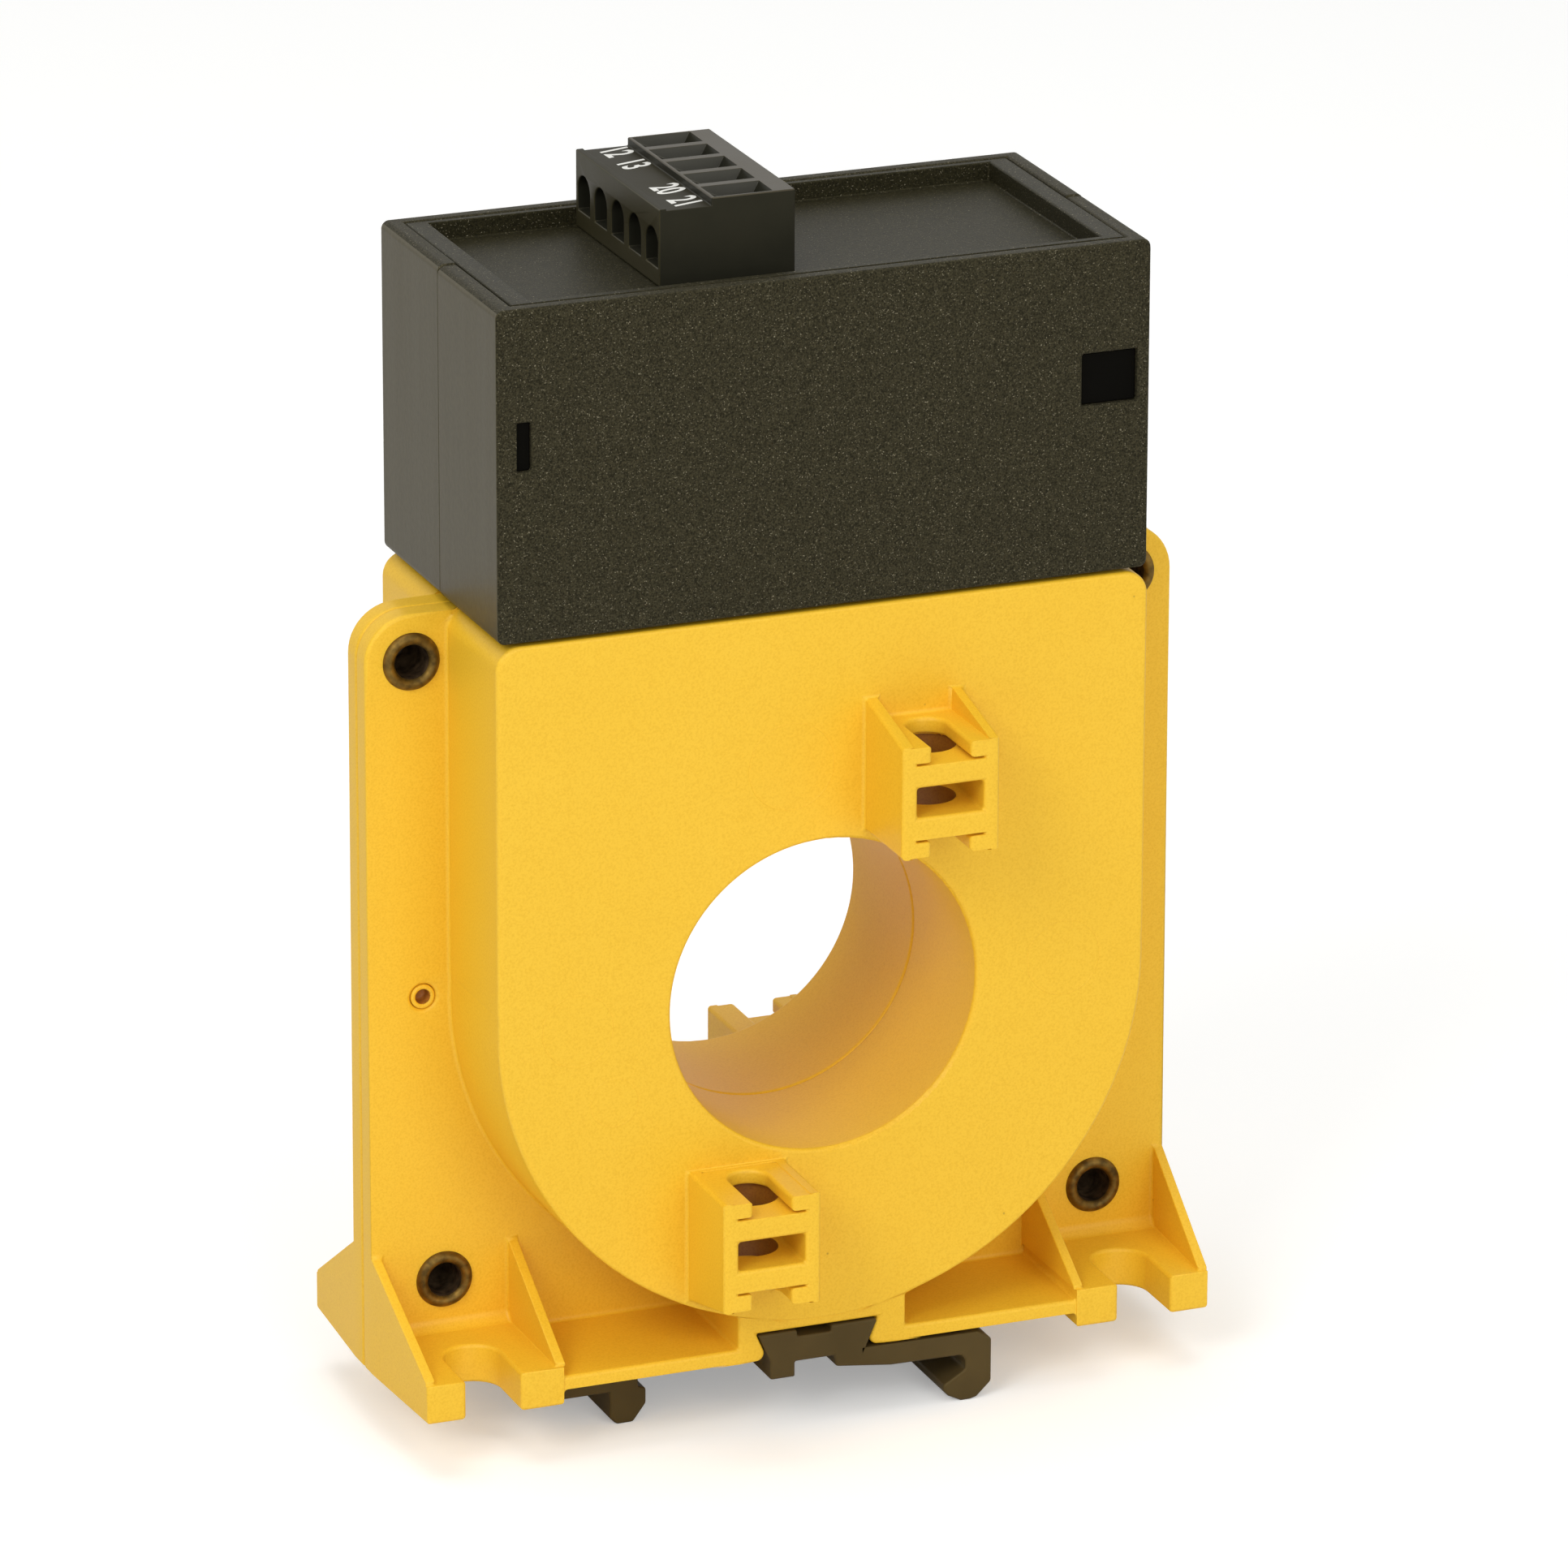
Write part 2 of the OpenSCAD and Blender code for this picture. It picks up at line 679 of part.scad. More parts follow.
module circuit_board() color("#2f6b3c") difference() {
    span([-board_hx, board_hx], [board_y0, board_y1], [board_z, board_top]);
    for (i = [0:poles - 1]) translate([skirt_cx, plug_cy + (i - 2) * pitch, board_z - 1])
        cylinder(r = pin_w * 0.8, h = board_t + 2, $fn = 24);
}

module board_chips() color("#26272a") {
    span(about(main_chip_x, main_chip_hw), about(0, main_chip_hw), [board_z - chip_t, board_z]);
    span(about(amp_chip_x, amp_chip_hx), about(0, amp_chip_hy), [board_z - chip_t, board_z]);
    span(about(ref_chip_x, ref_chip_hx), about(ref_chip_y, ref_chip_hy), [board_z - chip_t, board_z]);
}

module converter_module() color("#1f2023")
    span(about(converter_x, converter_hx), about(0, converter_hy), [board_top, board_top + converter_h]);

module capacitors() color("#4a4f57")
    for (y = about(can_y, can_gap / 2)) translate([can_x, y, board_top])
        cylinder(r = can_r, h = can_h);

module status_led() color("#d9dad2") {
    gx = -box_hw + guide_edge;
    span([gx + 0.3, gx + guide_w], [board_y0 + loose, board_y0 + loose + led_l],
        [board_top, board_top + led_h]);
}

module lead_connector() color("#e6e2d6")
    span(about(0, connector_hx), about(0, connector_hy), [board_z - connector_h, board_z]);

module terminal_header() color("#262628") {
    hx = skirt_hx + slide_gap + header_wall;
    hy = skirt_hy + slide_gap + header_wall;
    difference() {
        span([skirt_cx - hx, skirt_cx + hx], [plug_cy - hy, plug_cy + hy],
            [board_top, cover_z - loose]);
        span([skirt_cx - hx + header_wall, skirt_cx + hx - header_wall],
            [plug_cy - hy + header_wall, plug_cy + hy - header_wall], [skirt_z - 0.6, cover_z + 1]);
        for (i = [0:poles - 1]) span([skirt_cx - pin_w / 2, skirt_cx + pin_w / 2],
            about(plug_cy + (i - 2) * pitch, pin_w / 2), [board_top - 1, cover_z]);
    }
}

module header_pins() color("#b9bcc0") for (i = [0:poles - 1])
    translate([skirt_cx - pin_w / 2, plug_cy + (i - 2) * pitch - pin_w / 2, board_z - pin_tail])
        cube([pin_w, pin_w, pin_top - board_z + pin_tail]);

module terminal_plug() color(black) difference() {
    union() {
        span([plug_x0, plug_x1], [plug_cy - plug_l / 2, plug_cy + plug_l / 2],
            [tray_z + fit, label_z]);
        span([raised_x0, plug_x1], [plug_cy - plug_l / 2, plug_cy + plug_l / 2],
            [label_z - 1, raised_z]);
        span([plug_x0, plug_x0 + ridge_w], [plug_cy - plug_l / 2, plug_cy + plug_l / 2],
            [label_z - 1, label_z + ridge_h]);
        span([skirt_cx - skirt_hx, skirt_cx + skirt_hx], [plug_cy - skirt_hy, plug_cy + skirt_hy],
            [skirt_z, tray_z + 1]);
    }
    for (i = [0:poles - 1]) translate([0, plug_cy + (i - 2) * pitch, 0]) {
        // driver pocket: a ramp that falls to a slot at its right end
        along_y(-pocket_w / 2, pocket_w / 2) polygon([
            [pocket_x0, raised_z + 1], [pocket_x0, raised_z - ramp_start],
            [pocket_x1 - driver_slot, raised_z - ramp_end], [pocket_x1 - driver_slot, chamber_z],
            [pocket_x1 - guide_in, chamber_z], [pocket_x1 - guide_in, raised_z - guide_down],
            [pocket_x1, raised_z - 0.1], [pocket_x1, raised_z + 1]]);
        // chamber of the spring
        span([pocket_x0, pocket_x1], about(0, chamber_w / 2), [chamber_z, chamber_top]);
        // wire entry with an arched crown
        along_x(plug_x0 - 1, pocket_x0 + 1) {
            translate([0, entry_z]) circle(r = entry_w / 2, $fn = 32);
            translate([-entry_w / 2, chamber_z + entry_sill])
                square([entry_w, entry_z - chamber_z - entry_sill]);
        }
        // socket for the header's pin
        span(about(skirt_cx, socket_hw), about(0, socket_hy), [skirt_z - 1, chamber_z]);
        span([pocket_x0, skirt_cx + socket_hw], about(0, socket_hy), [skirt_z, chamber_z + eps]);
    }
}

// looped clamping spring of one pole, open on the side of the wire
module clamp_spring(pole) color("#b9bcc0") {
    y = plug_cy + (3 - pole) * pitch;
    x0 = pocket_x0 + 0.5;
    x1 = pocket_x1 - driver_slot - 0.2;
    z0 = chamber_z + leaf_t;
    z1 = chamber_top - 0.3;
    bend = (x1 - x0) * 0.3;
    along_y(y - 1.5, y + 1.5) difference() {
        round_rect([x0, z0], [x1, z1], bend);
        round_rect([x0 + spring_t, z0 + spring_t], [x1 - spring_t, z1 - spring_t],
            bend - spring_t);
        translate([x0 - 1, z0 + spring_t + 0.1]) square([2, z1 - z0 - 2 * spring_t - bend - 0.1]);
    }
}

// contact of one pole: two leaves on the pin, and a tongue under the spring
module plug_contact(pole) color("#b08d4a") {
    y = plug_cy + (3 - pole) * pitch;
    inner = pin_w / 2 + fit;
    outer = inner + leaf_t;
    span([skirt_cx - outer, skirt_cx - inner], about(y, 1.1), [skirt_z + 0.8, chamber_z]);
    span([skirt_cx + inner, skirt_cx + outer], about(y, 1.1), [skirt_z + 0.8, chamber_z + leaf_t]);
    span(about(skirt_cx, outer), about(y, 1.1), [chamber_z - leaf_t, chamber_z]);
    span([skirt_cx + inner, pocket_x1 - 0.3], about(y, 1.1), [chamber_z, chamber_z + leaf_t]);
}

// front view of the clip's grip in the groove, with the channel on its top
module clip_slider_view() {
    g = slide_gap;
    difference() {
        translate([groove_x, 0]) polygon([
            [-groove_top_hw + g, clip_top], [groove_top_hw - g, clip_top],
            [groove_lip_hw - g, plate_z + eps], [groove_lip_hw - g, plate_z - 0.45],
            [-groove_lip_hw + g, plate_z - 0.45], [-groove_lip_hw + g, plate_z + eps]]);
        translate([-2.9, clip_top - 0.75]) square([3.9, 2]);
    }
    // short leg on the left
    translate([groove_x - groove_lip_hw + g, -leg_drop]) square([leg_w, leg_drop + plate_z]);
}

// front view of the sprung arm with the right hook
module clip_arm_view() {
    x = notch_x;
    polygon([[arm_left, plate_z], [groove_x + groove_lip_hw - slide_gap - eps, plate_z + 0.05],
        [groove_x + groove_lip_hw - slide_gap, plate_z], [x + 1.65, plate_z - 0.15],
        [x + hook_w, plate_z - 1.15], [x + hook_w, -hook_drop + 1.8],
        [x + hook_w - 1.7, -hook_drop + 0.2], [x + 0.6, -hook_drop], [x - 0.5, -hook_drop],
        [x - tooth + 0.6, -hook_drop + 0.75], [x - tooth, -hook_drop + 1.5],
        [x - tooth, -hook_drop + 2.1], [x - 0.35, -arm_drop - 2], [x, -arm_drop - 1.6],
        [x, -arm_drop - 0.7], [x - 0.5, -arm_drop - 0.1],
        [arm_root, -arm_drop], [arm_left + 0.3, -arm_drop + bridge_up]]);
}

// front view of the fixed hook, its plate and its handle
module clip_hook_view() {
    x = left_notch_x;
    polygon([[groove_x - groove_lip_hw + slide_gap + 1, plate_z], [handle_x, plate_z],
        [handle_x, -handle_drop + 0.5], [handle_x + 0.5, -handle_drop],
        [x - left_hook_w, -handle_drop], [x - left_hook_w, -hook_drop + 0.8],
        [x - left_hook_w + 0.8, -hook_drop], [x - 0.6, -hook_drop],
        [x + 0.9, -hook_drop + 2], [x + 0.9, -arm_drop - 1.6], [x, -arm_drop - 1.35],
        [x, -arm_drop], [groove_x - groove_lip_hw + slide_gap + 1, -arm_drop]]);
}

module rail_clip() color(black) {
    along_y(clip_y0, clip_y1) clip_slider_view();
    along_y(clip_y0, clip_y1) clip_arm_view();
    along_y(clip_y0 + hook_back, clip_y1) clip_hook_view();
    // bridge that ties the plate, the leg and the arm behind the front
    span([groove_x - groove_lip_hw + slide_gap, 2], [clip_y0 + hook_back, clip_y1],
        [-arm_drop + bridge_up, plate_z - 0.3]);
}

front_shell();
rear_shell();
rivet(-rivet_top_x, rivet_top_z);  // rivet_top_left
rivet(rivet_top_x, rivet_top_z);  // rivet_top_right
rivet(-rivet_low_x, -rivet_low_z);  // rivet_bottom_left
rivet(rivet_low_x, -rivet_low_z);  // rivet_bottom_right
tape_core();
core_case();
core_case_lid();
secondary_winding();
foam_ring(-hd + wall, -winding_hy);  // front_foam_ring
foam_ring(winding_hy, hd - wall);  // rear_foam_ring
winding_leads();
box_front();
box_rear();
top_cover();
light_guide();
blanking_plug();
circuit_board();
board_chips();
converter_module();
capacitors();
status_led();
lead_connector();
terminal_header();
header_pins();
terminal_plug();
clamp_spring(1);  // clamp_spring_1
clamp_spring(2);  // clamp_spring_2
clamp_spring(3);  // clamp_spring_3
clamp_spring(4);  // clamp_spring_4
clamp_spring(5);  // clamp_spring_5
plug_contact(1);  // plug_contact_1
plug_contact(2);  // plug_contact_2
plug_contact(3);  // plug_contact_3
plug_contact(4);  // plug_contact_4
plug_contact(5);  // plug_contact_5
rail_clip();
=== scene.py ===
# %% [markdown]
# # A through-window current transformer
#
# The object is a yellow riveted housing round a 35 mm window, with a black
# electronics box on top, a pluggable terminal block and a clip for a mounting
# rail. The construction model gives every solid at its real size. This lesson
# gives each solid the finish and the small forms that moulding, riveting and
# printing leave on the real thing: rounded edges, a parting line, ejector
# marks, a spark-eroded grain, aged brass and white numbers.

import math

import bmesh
import bpy
from mathutils import Matrix, Vector
from mathutils.bvhtree import BVHTree
from mathutils.geometry import delaunay_2d_cdt, intersect_point_line


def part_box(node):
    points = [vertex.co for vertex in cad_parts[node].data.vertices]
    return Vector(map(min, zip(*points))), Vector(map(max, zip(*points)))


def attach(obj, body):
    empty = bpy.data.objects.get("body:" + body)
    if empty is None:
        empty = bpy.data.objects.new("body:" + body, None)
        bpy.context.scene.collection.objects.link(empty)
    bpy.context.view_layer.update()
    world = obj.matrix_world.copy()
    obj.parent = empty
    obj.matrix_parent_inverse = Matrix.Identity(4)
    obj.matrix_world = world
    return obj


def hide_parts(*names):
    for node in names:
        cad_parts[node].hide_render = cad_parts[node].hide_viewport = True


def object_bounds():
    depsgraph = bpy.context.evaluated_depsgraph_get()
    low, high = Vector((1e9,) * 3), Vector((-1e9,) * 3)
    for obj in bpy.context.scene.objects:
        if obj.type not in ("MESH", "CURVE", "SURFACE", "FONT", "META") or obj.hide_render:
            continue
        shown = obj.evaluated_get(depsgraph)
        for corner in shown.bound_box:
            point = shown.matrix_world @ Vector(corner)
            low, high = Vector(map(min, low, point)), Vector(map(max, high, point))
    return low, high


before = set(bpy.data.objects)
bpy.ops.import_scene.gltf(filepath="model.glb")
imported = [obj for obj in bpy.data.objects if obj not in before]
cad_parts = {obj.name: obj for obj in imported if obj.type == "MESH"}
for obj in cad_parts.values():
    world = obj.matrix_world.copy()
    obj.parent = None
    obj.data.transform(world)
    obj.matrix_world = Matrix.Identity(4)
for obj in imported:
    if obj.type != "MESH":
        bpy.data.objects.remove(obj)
cad_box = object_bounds()

MM = 0.001
SCENE = bpy.context.scene
print("the model measures", [round((b - a) / MM, 1) for a, b in zip(*cad_box)], "mm")

# %% [markdown]
# ## The view
#
# The photograph was taken from far away with a long lens, a little from the
# left and from above. Its viewpoint can be worked out from the housing's
# square edges and the window's circles, so the camera stands where the real
# one stood. The lens is set for a square picture.

# %% Stand the camera where the photograph was taken
CAMERA_AT = Vector((-398.75, -1002.37, 398.25)) * MM
CAMERA_AIM = Vector((0.35040, 0.87561, -0.33245))
CAMERA_ROLL = math.radians(0.16)
CAMERA_LENS = 244.69
SENSOR = 36.0


def make_camera():
    data = bpy.data.cameras.new("photo_camera")
    data.lens, data.sensor_width = CAMERA_LENS, SENSOR
    data.clip_start, data.clip_end = 0.05, 20.0
    camera = bpy.data.objects.new("photo_camera", data)
    SCENE.collection.objects.link(camera)
    level_right = CAMERA_AIM.cross(Vector((0, 0, 1))).normalized()
    level_up = level_right.cross(CAMERA_AIM).normalized()
    right = level_right * math.cos(CAMERA_ROLL) + level_up * math.sin(CAMERA_ROLL)
    up = level_up * math.cos(CAMERA_ROLL) - level_right * math.sin(CAMERA_ROLL)
    turn = Matrix((right, up, -CAMERA_AIM.normalized())).transposed()
    camera.matrix_world = Matrix.Translation(CAMERA_AT) @ turn.to_4x4()
    SCENE.camera = camera


make_camera()
SCENE.view_settings.view_transform = "Standard"
print("camera", round(CAMERA_AT.length, 3), "m from the window")

# %% [markdown]
# ## Colours and nodes
#
# Colours are written as the hex values that a picture editor shows. Blender
# mixes light linearly, so one function turns a hex value into linear numbers.
# A second small function adds any shader node with its settings and links,
# which keeps each material short enough to read as a recipe.


# %% Turn a picture colour into linear light
def ink(hex_value):
    channels = [int(hex_value[i:i + 2], 16) / 255 for i in (1, 3, 5)]
    linear = [c / 12.92 if c <= 0.04045 else ((c + 0.055) / 1.055) ** 2.4 for c in channels]
    return (*linear, 1.0)


print("mid grey #808080 is", round(ink("#808080")[0], 3), "in linear light")


# %% Add one node with its settings and links
def add(tree, kind, inputs=None, **settings):
    made = tree.nodes.new(kind)
    for name, value in settings.items():
        setattr(made, name, value)
    for name, value in (inputs or {}).items():
        if isinstance(value, bpy.types.NodeSocket):
            tree.links.new(value, made.inputs[name])
        else:
            made.inputs[name].default_value = value
    return made


def empty_material(name):
    made = bpy.data.materials.new(name)
    made.use_nodes = True
    made.node_tree.nodes.clear()
    return made, made.node_tree


# %% [markdown]
# ## Floor and light
#
# The catalogue picture has a white ground and no horizon. A large pale floor
# fills the view, and it is lifted a little for the camera alone, so it comes
# out white while it still takes the object's shadow. Blender has a ready
# shadow catcher, but plain nodes show better what happens to each ray. Most
# of the light is the fill of a white room, a good deal stronger in front than
# behind. Three soft boxes add shape: one in front, one high over the left
# shoulder, one above. Wide boxes were chosen because the photograph has no
# hard shadow anywhere.

# %% Lay the floor
FLOOR_Z = cad_box[0].z
FLOOR_HALF = 3.0
FLOOR_LIFT = 0.3


def make_floor():
    mesh = bpy.data.meshes.new("floor")
    corners = [(-1, -1), (1, -1), (1, 1), (-1, 1)]
    mesh.from_pydata([(x * FLOOR_HALF, y * FLOOR_HALF, FLOOR_Z) for x, y in corners], [], [(0, 1, 2, 3)])
    floor = bpy.data.objects.new("floor", mesh)
    SCENE.collection.objects.link(floor)
    paper, tree = empty_material("white_paper")
    diffuse = add(tree, "ShaderNodeBsdfDiffuse", {"Color": ink("#f2f2f0")})
    lift = add(tree, "ShaderNodeEmission", {"Color": (1, 1, 1, 1), "Strength": FLOOR_LIFT})
    both = add(tree, "ShaderNodeAddShader", {0: diffuse.outputs[0], 1: lift.outputs[0]})
    path = add(tree, "ShaderNodeLightPath")
    seen = add(tree, "ShaderNodeMixShader",
               {0: path.outputs["Is Camera Ray"], 1: diffuse.outputs[0], 2: both.outputs[0]})
    add(tree, "ShaderNodeOutputMaterial", {"Surface": seen.outputs[0]})
    mesh.materials.append(paper)


make_floor()
print("floor at", round(FLOOR_Z / MM, 2), "mm")

# %% Hang the lamps
LAMPS = {
    # name: (place in metres, aim, width, height, watts)
    "key_softbox": ((0.10, -1.45, 0.65), (0, 0, 0.02), 0.9, 0.9, 6.8),
    "shoulder_softbox": ((-0.95, -0.75, 0.95), (0, 0, 0.02), 0.6, 0.6, 7.0),
    "top_softbox": ((-0.10, 0.10, 1.20), (0, 0, 0.03), 0.8, 0.8, 4.9),
}


def make_lamp(name, place, aim, width, height, watts):
    data = bpy.data.lights.new(name, "AREA")
    data.shape, data.size, data.size_y, data.energy = "RECTANGLE", width, height, watts
    lamp = bpy.data.objects.new(name, data)
    SCENE.collection.objects.link(lamp)
    lamp.location = place
    lamp.rotation_mode = "QUATERNION"
    lamp.rotation_quaternion = (Vector(aim) - Vector(place)).to_track_quat("-Z", "Y")


for lamp_name, settings in LAMPS.items():
    make_lamp(lamp_name, *settings)
print(len(LAMPS), "soft boxes")

# %% Fill the room with light
FILL_FRONT, FILL_BACK = 0.62, 0.22
sky = bpy.data.worlds.new("studio")
SCENE.world = sky
sky.use_nodes = True
studio = sky.node_tree
studio.nodes.clear()
path = add(studio, "ShaderNodeLightPath")
shown = add(studio, "ShaderNodeMath",
            {0: path.outputs["Is Camera Ray"], 1: path.outputs["Is Glossy Ray"]}, operation="MAXIMUM")
shown = add(studio, "ShaderNodeMath",
            {0: shown.outputs[0], 1: path.outputs["Is Transmission Ray"]}, operation="MAXIMUM")
round_about = add(studio, "ShaderNodeTexCoord")
way = add(studio, "ShaderNodeSeparateXYZ", {0: round_about.outputs["Generated"]})
level = add(studio, "ShaderNodeMapRange", {"Value": way.outputs[1], "From Min": -1.0, "From Max": 1.0,
                                           "To Min": FILL_FRONT, "To Max": FILL_BACK})
fill = add(studio, "ShaderNodeBackground", {"Color": (1, 1, 1, 1), "Strength": level.outputs[0]})
white = add(studio, "ShaderNodeBackground", {"Color": (1, 1, 1, 1), "Strength": 1.0})
mixed = add(studio, "ShaderNodeMixShader", {0: shown.outputs[0], 1: fill.outputs[0], 2: white.outputs[0]})
add(studio, "ShaderNodeOutputWorld", {"Surface": mixed.outputs[0]})
print("a fill of", FILL_FRONT, "in front,", FILL_BACK, "behind")

# %% [markdown]
# ## Moulded edges
#
# No moulded edge is truly sharp: the cutter that made the mould leaves a small
# radius, and the light catches it. A bevel node in the material would only
# bend the light, so a bevel modifier rounds the edges of a copy of each solid
# for real. The solids come as triangles, so flat neighbours are joined first,
# the ones whose common edge lies at the sharpest slant to a corner before the
# others, because a bevel slides along the edges that are left. All this is
# done in millimetres, where the numbers are of a handy size.

# %% Join the flat faces of a copy
FLAT = math.radians(0.6)
WELD_MM = 0.002


def way_along(edge, vert):
    return (edge.other_vert(vert).co - vert.co).normalized()


def is_flat(edge):
    return len(edge.link_faces) == 2 and edge.calc_face_angle(4) < FLAT


def slant(edge):
    worst = 0.0
    for vert in edge.verts:
        for face in edge.link_faces:
            for side in face.edges:
                if side is not edge and vert in side.verts and not is_flat(side):
                    worst = max(worst, way_along(edge, vert).dot(way_along(side, vert)))
    return worst


def join_flat(made):
    between = [edge for edge in made.edges if is_flat(edge)]
    between.sort(key=lambda edge: (slant(edge), edge.calc_length()), reverse=True)
    for edge in between:
        if not edge.is_valid or len(edge.link_faces) != 2:
            continue
        one, two = edge.link_faces
        corners = set(one.verts) & set(two.verts)
        if len(corners) == len(set(one.edges) & set(two.edges)) + 1:
            bmesh.utils.face_join((one, two))


def clean_mesh(node):
    made = bmesh.new()
    made.from_mesh(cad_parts[node].data)
    made.transform(Matrix.Scale(1 / MM, 4))
    bmesh.ops.remove_doubles(made, verts=made.verts, dist=WELD_MM)
    made.normal_update()
    join_flat(made)
    made.normal_update()
    return made


trial = clean_mesh("box_front")
triangles = len(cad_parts["box_front"].data.polygons)
print("box_front:", triangles, "triangles join into", len(trial.faces), "faces")
trial.free()

# %% [markdown]
# One radius can't serve a body 35 mm deep and a slit 0.25 mm high. The bevel
# modifier has its own clamp, but that shrinks every radius to suit the
# tightest spot. So each edge gets a weight instead, from the room that the
# edges beside it and the edges on the far side of its faces leave.

# %% Weigh each sharp edge by the room it has
SHARP = math.radians(35)
PLENTY = 100.0
STRAIGHT_ON = -0.97
ALONG_THE_EDGE = (0.05, 0.5, 0.95)
OPPOSITE = 0.8
SHARE_OF_ROOM = 0.4


def room_beside(edge):
    room = PLENTY
    for vert in edge.verts:
        for other in vert.link_edges:
            if other is edge or other.calc_length() == 0:
                continue
            lean = way_along(edge, vert).dot(way_along(other, vert))
            if lean > STRAIGHT_ON:
                room = min(room, other.calc_length() * math.sqrt(1 - max(lean, 0.0) ** 2))
    return room


def room_across(edge):
    room = PLENTY
    start, end = (vert.co for vert in edge.verts)
    for loop in edge.link_loops:
        along = loop.link_loop_next.vert.co - loop.vert.co
        inward = loop.face.normal.cross(along).normalized()
        for other in loop.face.edges:
            if set(edge.verts) & set(other.verts):
                continue
            near, far = (vert.co for vert in other.verts)
            for share in ALONG_THE_EDGE:
                here = start.lerp(end, share)
                part = intersect_point_line(here, near, far)[1]
                way = near.lerp(far, min(max(part, 0.0), 1.0)) - here
                if way.length > 0 and way.dot(inward) > OPPOSITE * way.length:
                    room = min(room, way.length)
    return room


def weigh_edges(made, width):
    layer = made.edges.layers.float.new("bevel_weight_edge")
    for edge in made.edges:
        is_corner = len(edge.link_faces) == 2 and edge.calc_face_angle(0) > SHARP
        room = min(room_beside(edge), room_across(edge)) if is_corner else 0.0
        edge[layer] = min(1.0, SHARE_OF_ROOM * room / width)


# %% [markdown]
# Where two rounded edges still meet in too little room, the outline of the
# face between them crosses itself, and its triangles cover more than the face
# does. Such a face is taken out and filled again: a Delaunay fill finds where
# the outline crosses and makes a corner there. A triangle that ends up facing
# into the solid is turned to face the way that the solid's own surface does,
# so that the light falls on it as it falls on its neighbours.

# %% Fill faces whose outline crosses itself
CROSSED = 1.001
TOO_SMALL = 1e-6
FACES_INWARD = -0.2


def area_in_triangles(face):
    spare = bmesh.new()
    copy = spare.faces.new([spare.verts.new(vert.co) for vert in face.verts])
    copy.normal_update()
    bmesh.ops.triangulate(spare, faces=[copy])
    area = sum(part.calc_area() for part in spare.faces)
    spare.free()
    return area


def fill_again(made, face):
    normal, corners = face.normal.copy(), list(face.verts)
    lay_flat = normal.to_track_quat("Z", "Y").to_matrix().inverted()
    flat = [lay_flat @ vert.co for vert in corners]
    level = sum(point.z for point in flat) / len(flat)
    points, _, parts, origins, _, _ = delaunay_2d_cdt([point.to_2d() for point in flat], [],
                                                      [list(range(len(flat)))], 1, TOO_SMALL)
    made.faces.remove(face)
    verts = [corners[source[0]] if source else made.verts.new(lay_flat.inverted() @ Vector((*point, level)))
             for point, source in zip(points, origins)]
    for part in parts:
        ring = [verts[i] for i in part]
        if len(set(ring)) == 3 and not made.faces.get(ring):
            triangle = made.faces.new(ring)
            triangle.normal_update()
            if triangle.normal.dot(normal) < 0:
                triangle.normal_flip()


def turn_outwards(made, solid):
    surface = BVHTree.FromPolygons([vert.co / MM for vert in solid.vertices],
                                   [tuple(face.vertices) for face in solid.polygons])
    turned_over = 0
    for face in made.faces:
        outward = surface.find_nearest(face.calc_center_median())[1]
        if outward.dot(face.normal) < FACES_INWARD:
            face.normal_flip()
            turned_over += 1
    print(turned_over, "triangles turned outwards")


def close_faces(mesh, solid):
    made = bmesh.new()
    made.from_mesh(mesh)
    made.normal_update()
    for face in [f for f in made.faces if len(f.verts) > 4]:
        if face.calc_area() > TOO_SMALL and area_in_triangles(face) > CROSSED * face.calc_area():
            fill_again(made, face)
    bmesh.ops.triangulate(made, faces=made.faces)
    made.normal_update()
    turn_outwards(made, solid)
    made.transform(Matrix.Scale(MM, 4))
    made.to_mesh(mesh)
    made.free()


# %% [markdown]
# The rounded copy takes the solid's place and rides on the solid's body, so
# it moves with the plug or the clip. Weighted normals keep the large flat
# faces flat to the light and leave all the turning to the rounded edges,
# which is what a moulded face looks like.

# %% Round the edges of a copy that takes the solid's place
SEGMENTS = 3


def show_mesh(name, made, body, *materials):
    mesh = bpy.data.meshes.new(name)
    made.to_mesh(mesh)
    made.free()
    piece = bpy.data.objects.new(name, mesh)
    SCENE.collection.objects.link(piece)
    for material in materials:
        mesh.materials.append(material)
    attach(piece, body)
    return piece


def freeze(piece):
    graph = bpy.context.evaluated_depsgraph_get()
    mesh = bpy.data.meshes.new_from_object(piece.evaluated_get(graph))
    piece.modifiers.clear()
    piece.data = mesh


def moulded(node, width_mm, body, material):
    made = clean_mesh(node)
    weigh_edges(made, width_mm)
    piece = show_mesh(node + "_moulding", made, body, material)
    bevel = piece.modifiers.new("edge_radius", "BEVEL")
    bevel.limit_method, bevel.width, bevel.segments = "WEIGHT", width_mm, SEGMENTS
    bevel.use_clamp_overlap = False
    freeze(piece)
    close_faces(piece.data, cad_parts[node].data)
    piece.data.shade_smooth()
    piece.modifiers.new("flat_faces", "WEIGHTED_NORMAL").weight = 100
    freeze(piece)
    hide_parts(node)
    print(piece.name, len(piece.data.polygons), "faces")
    return piece
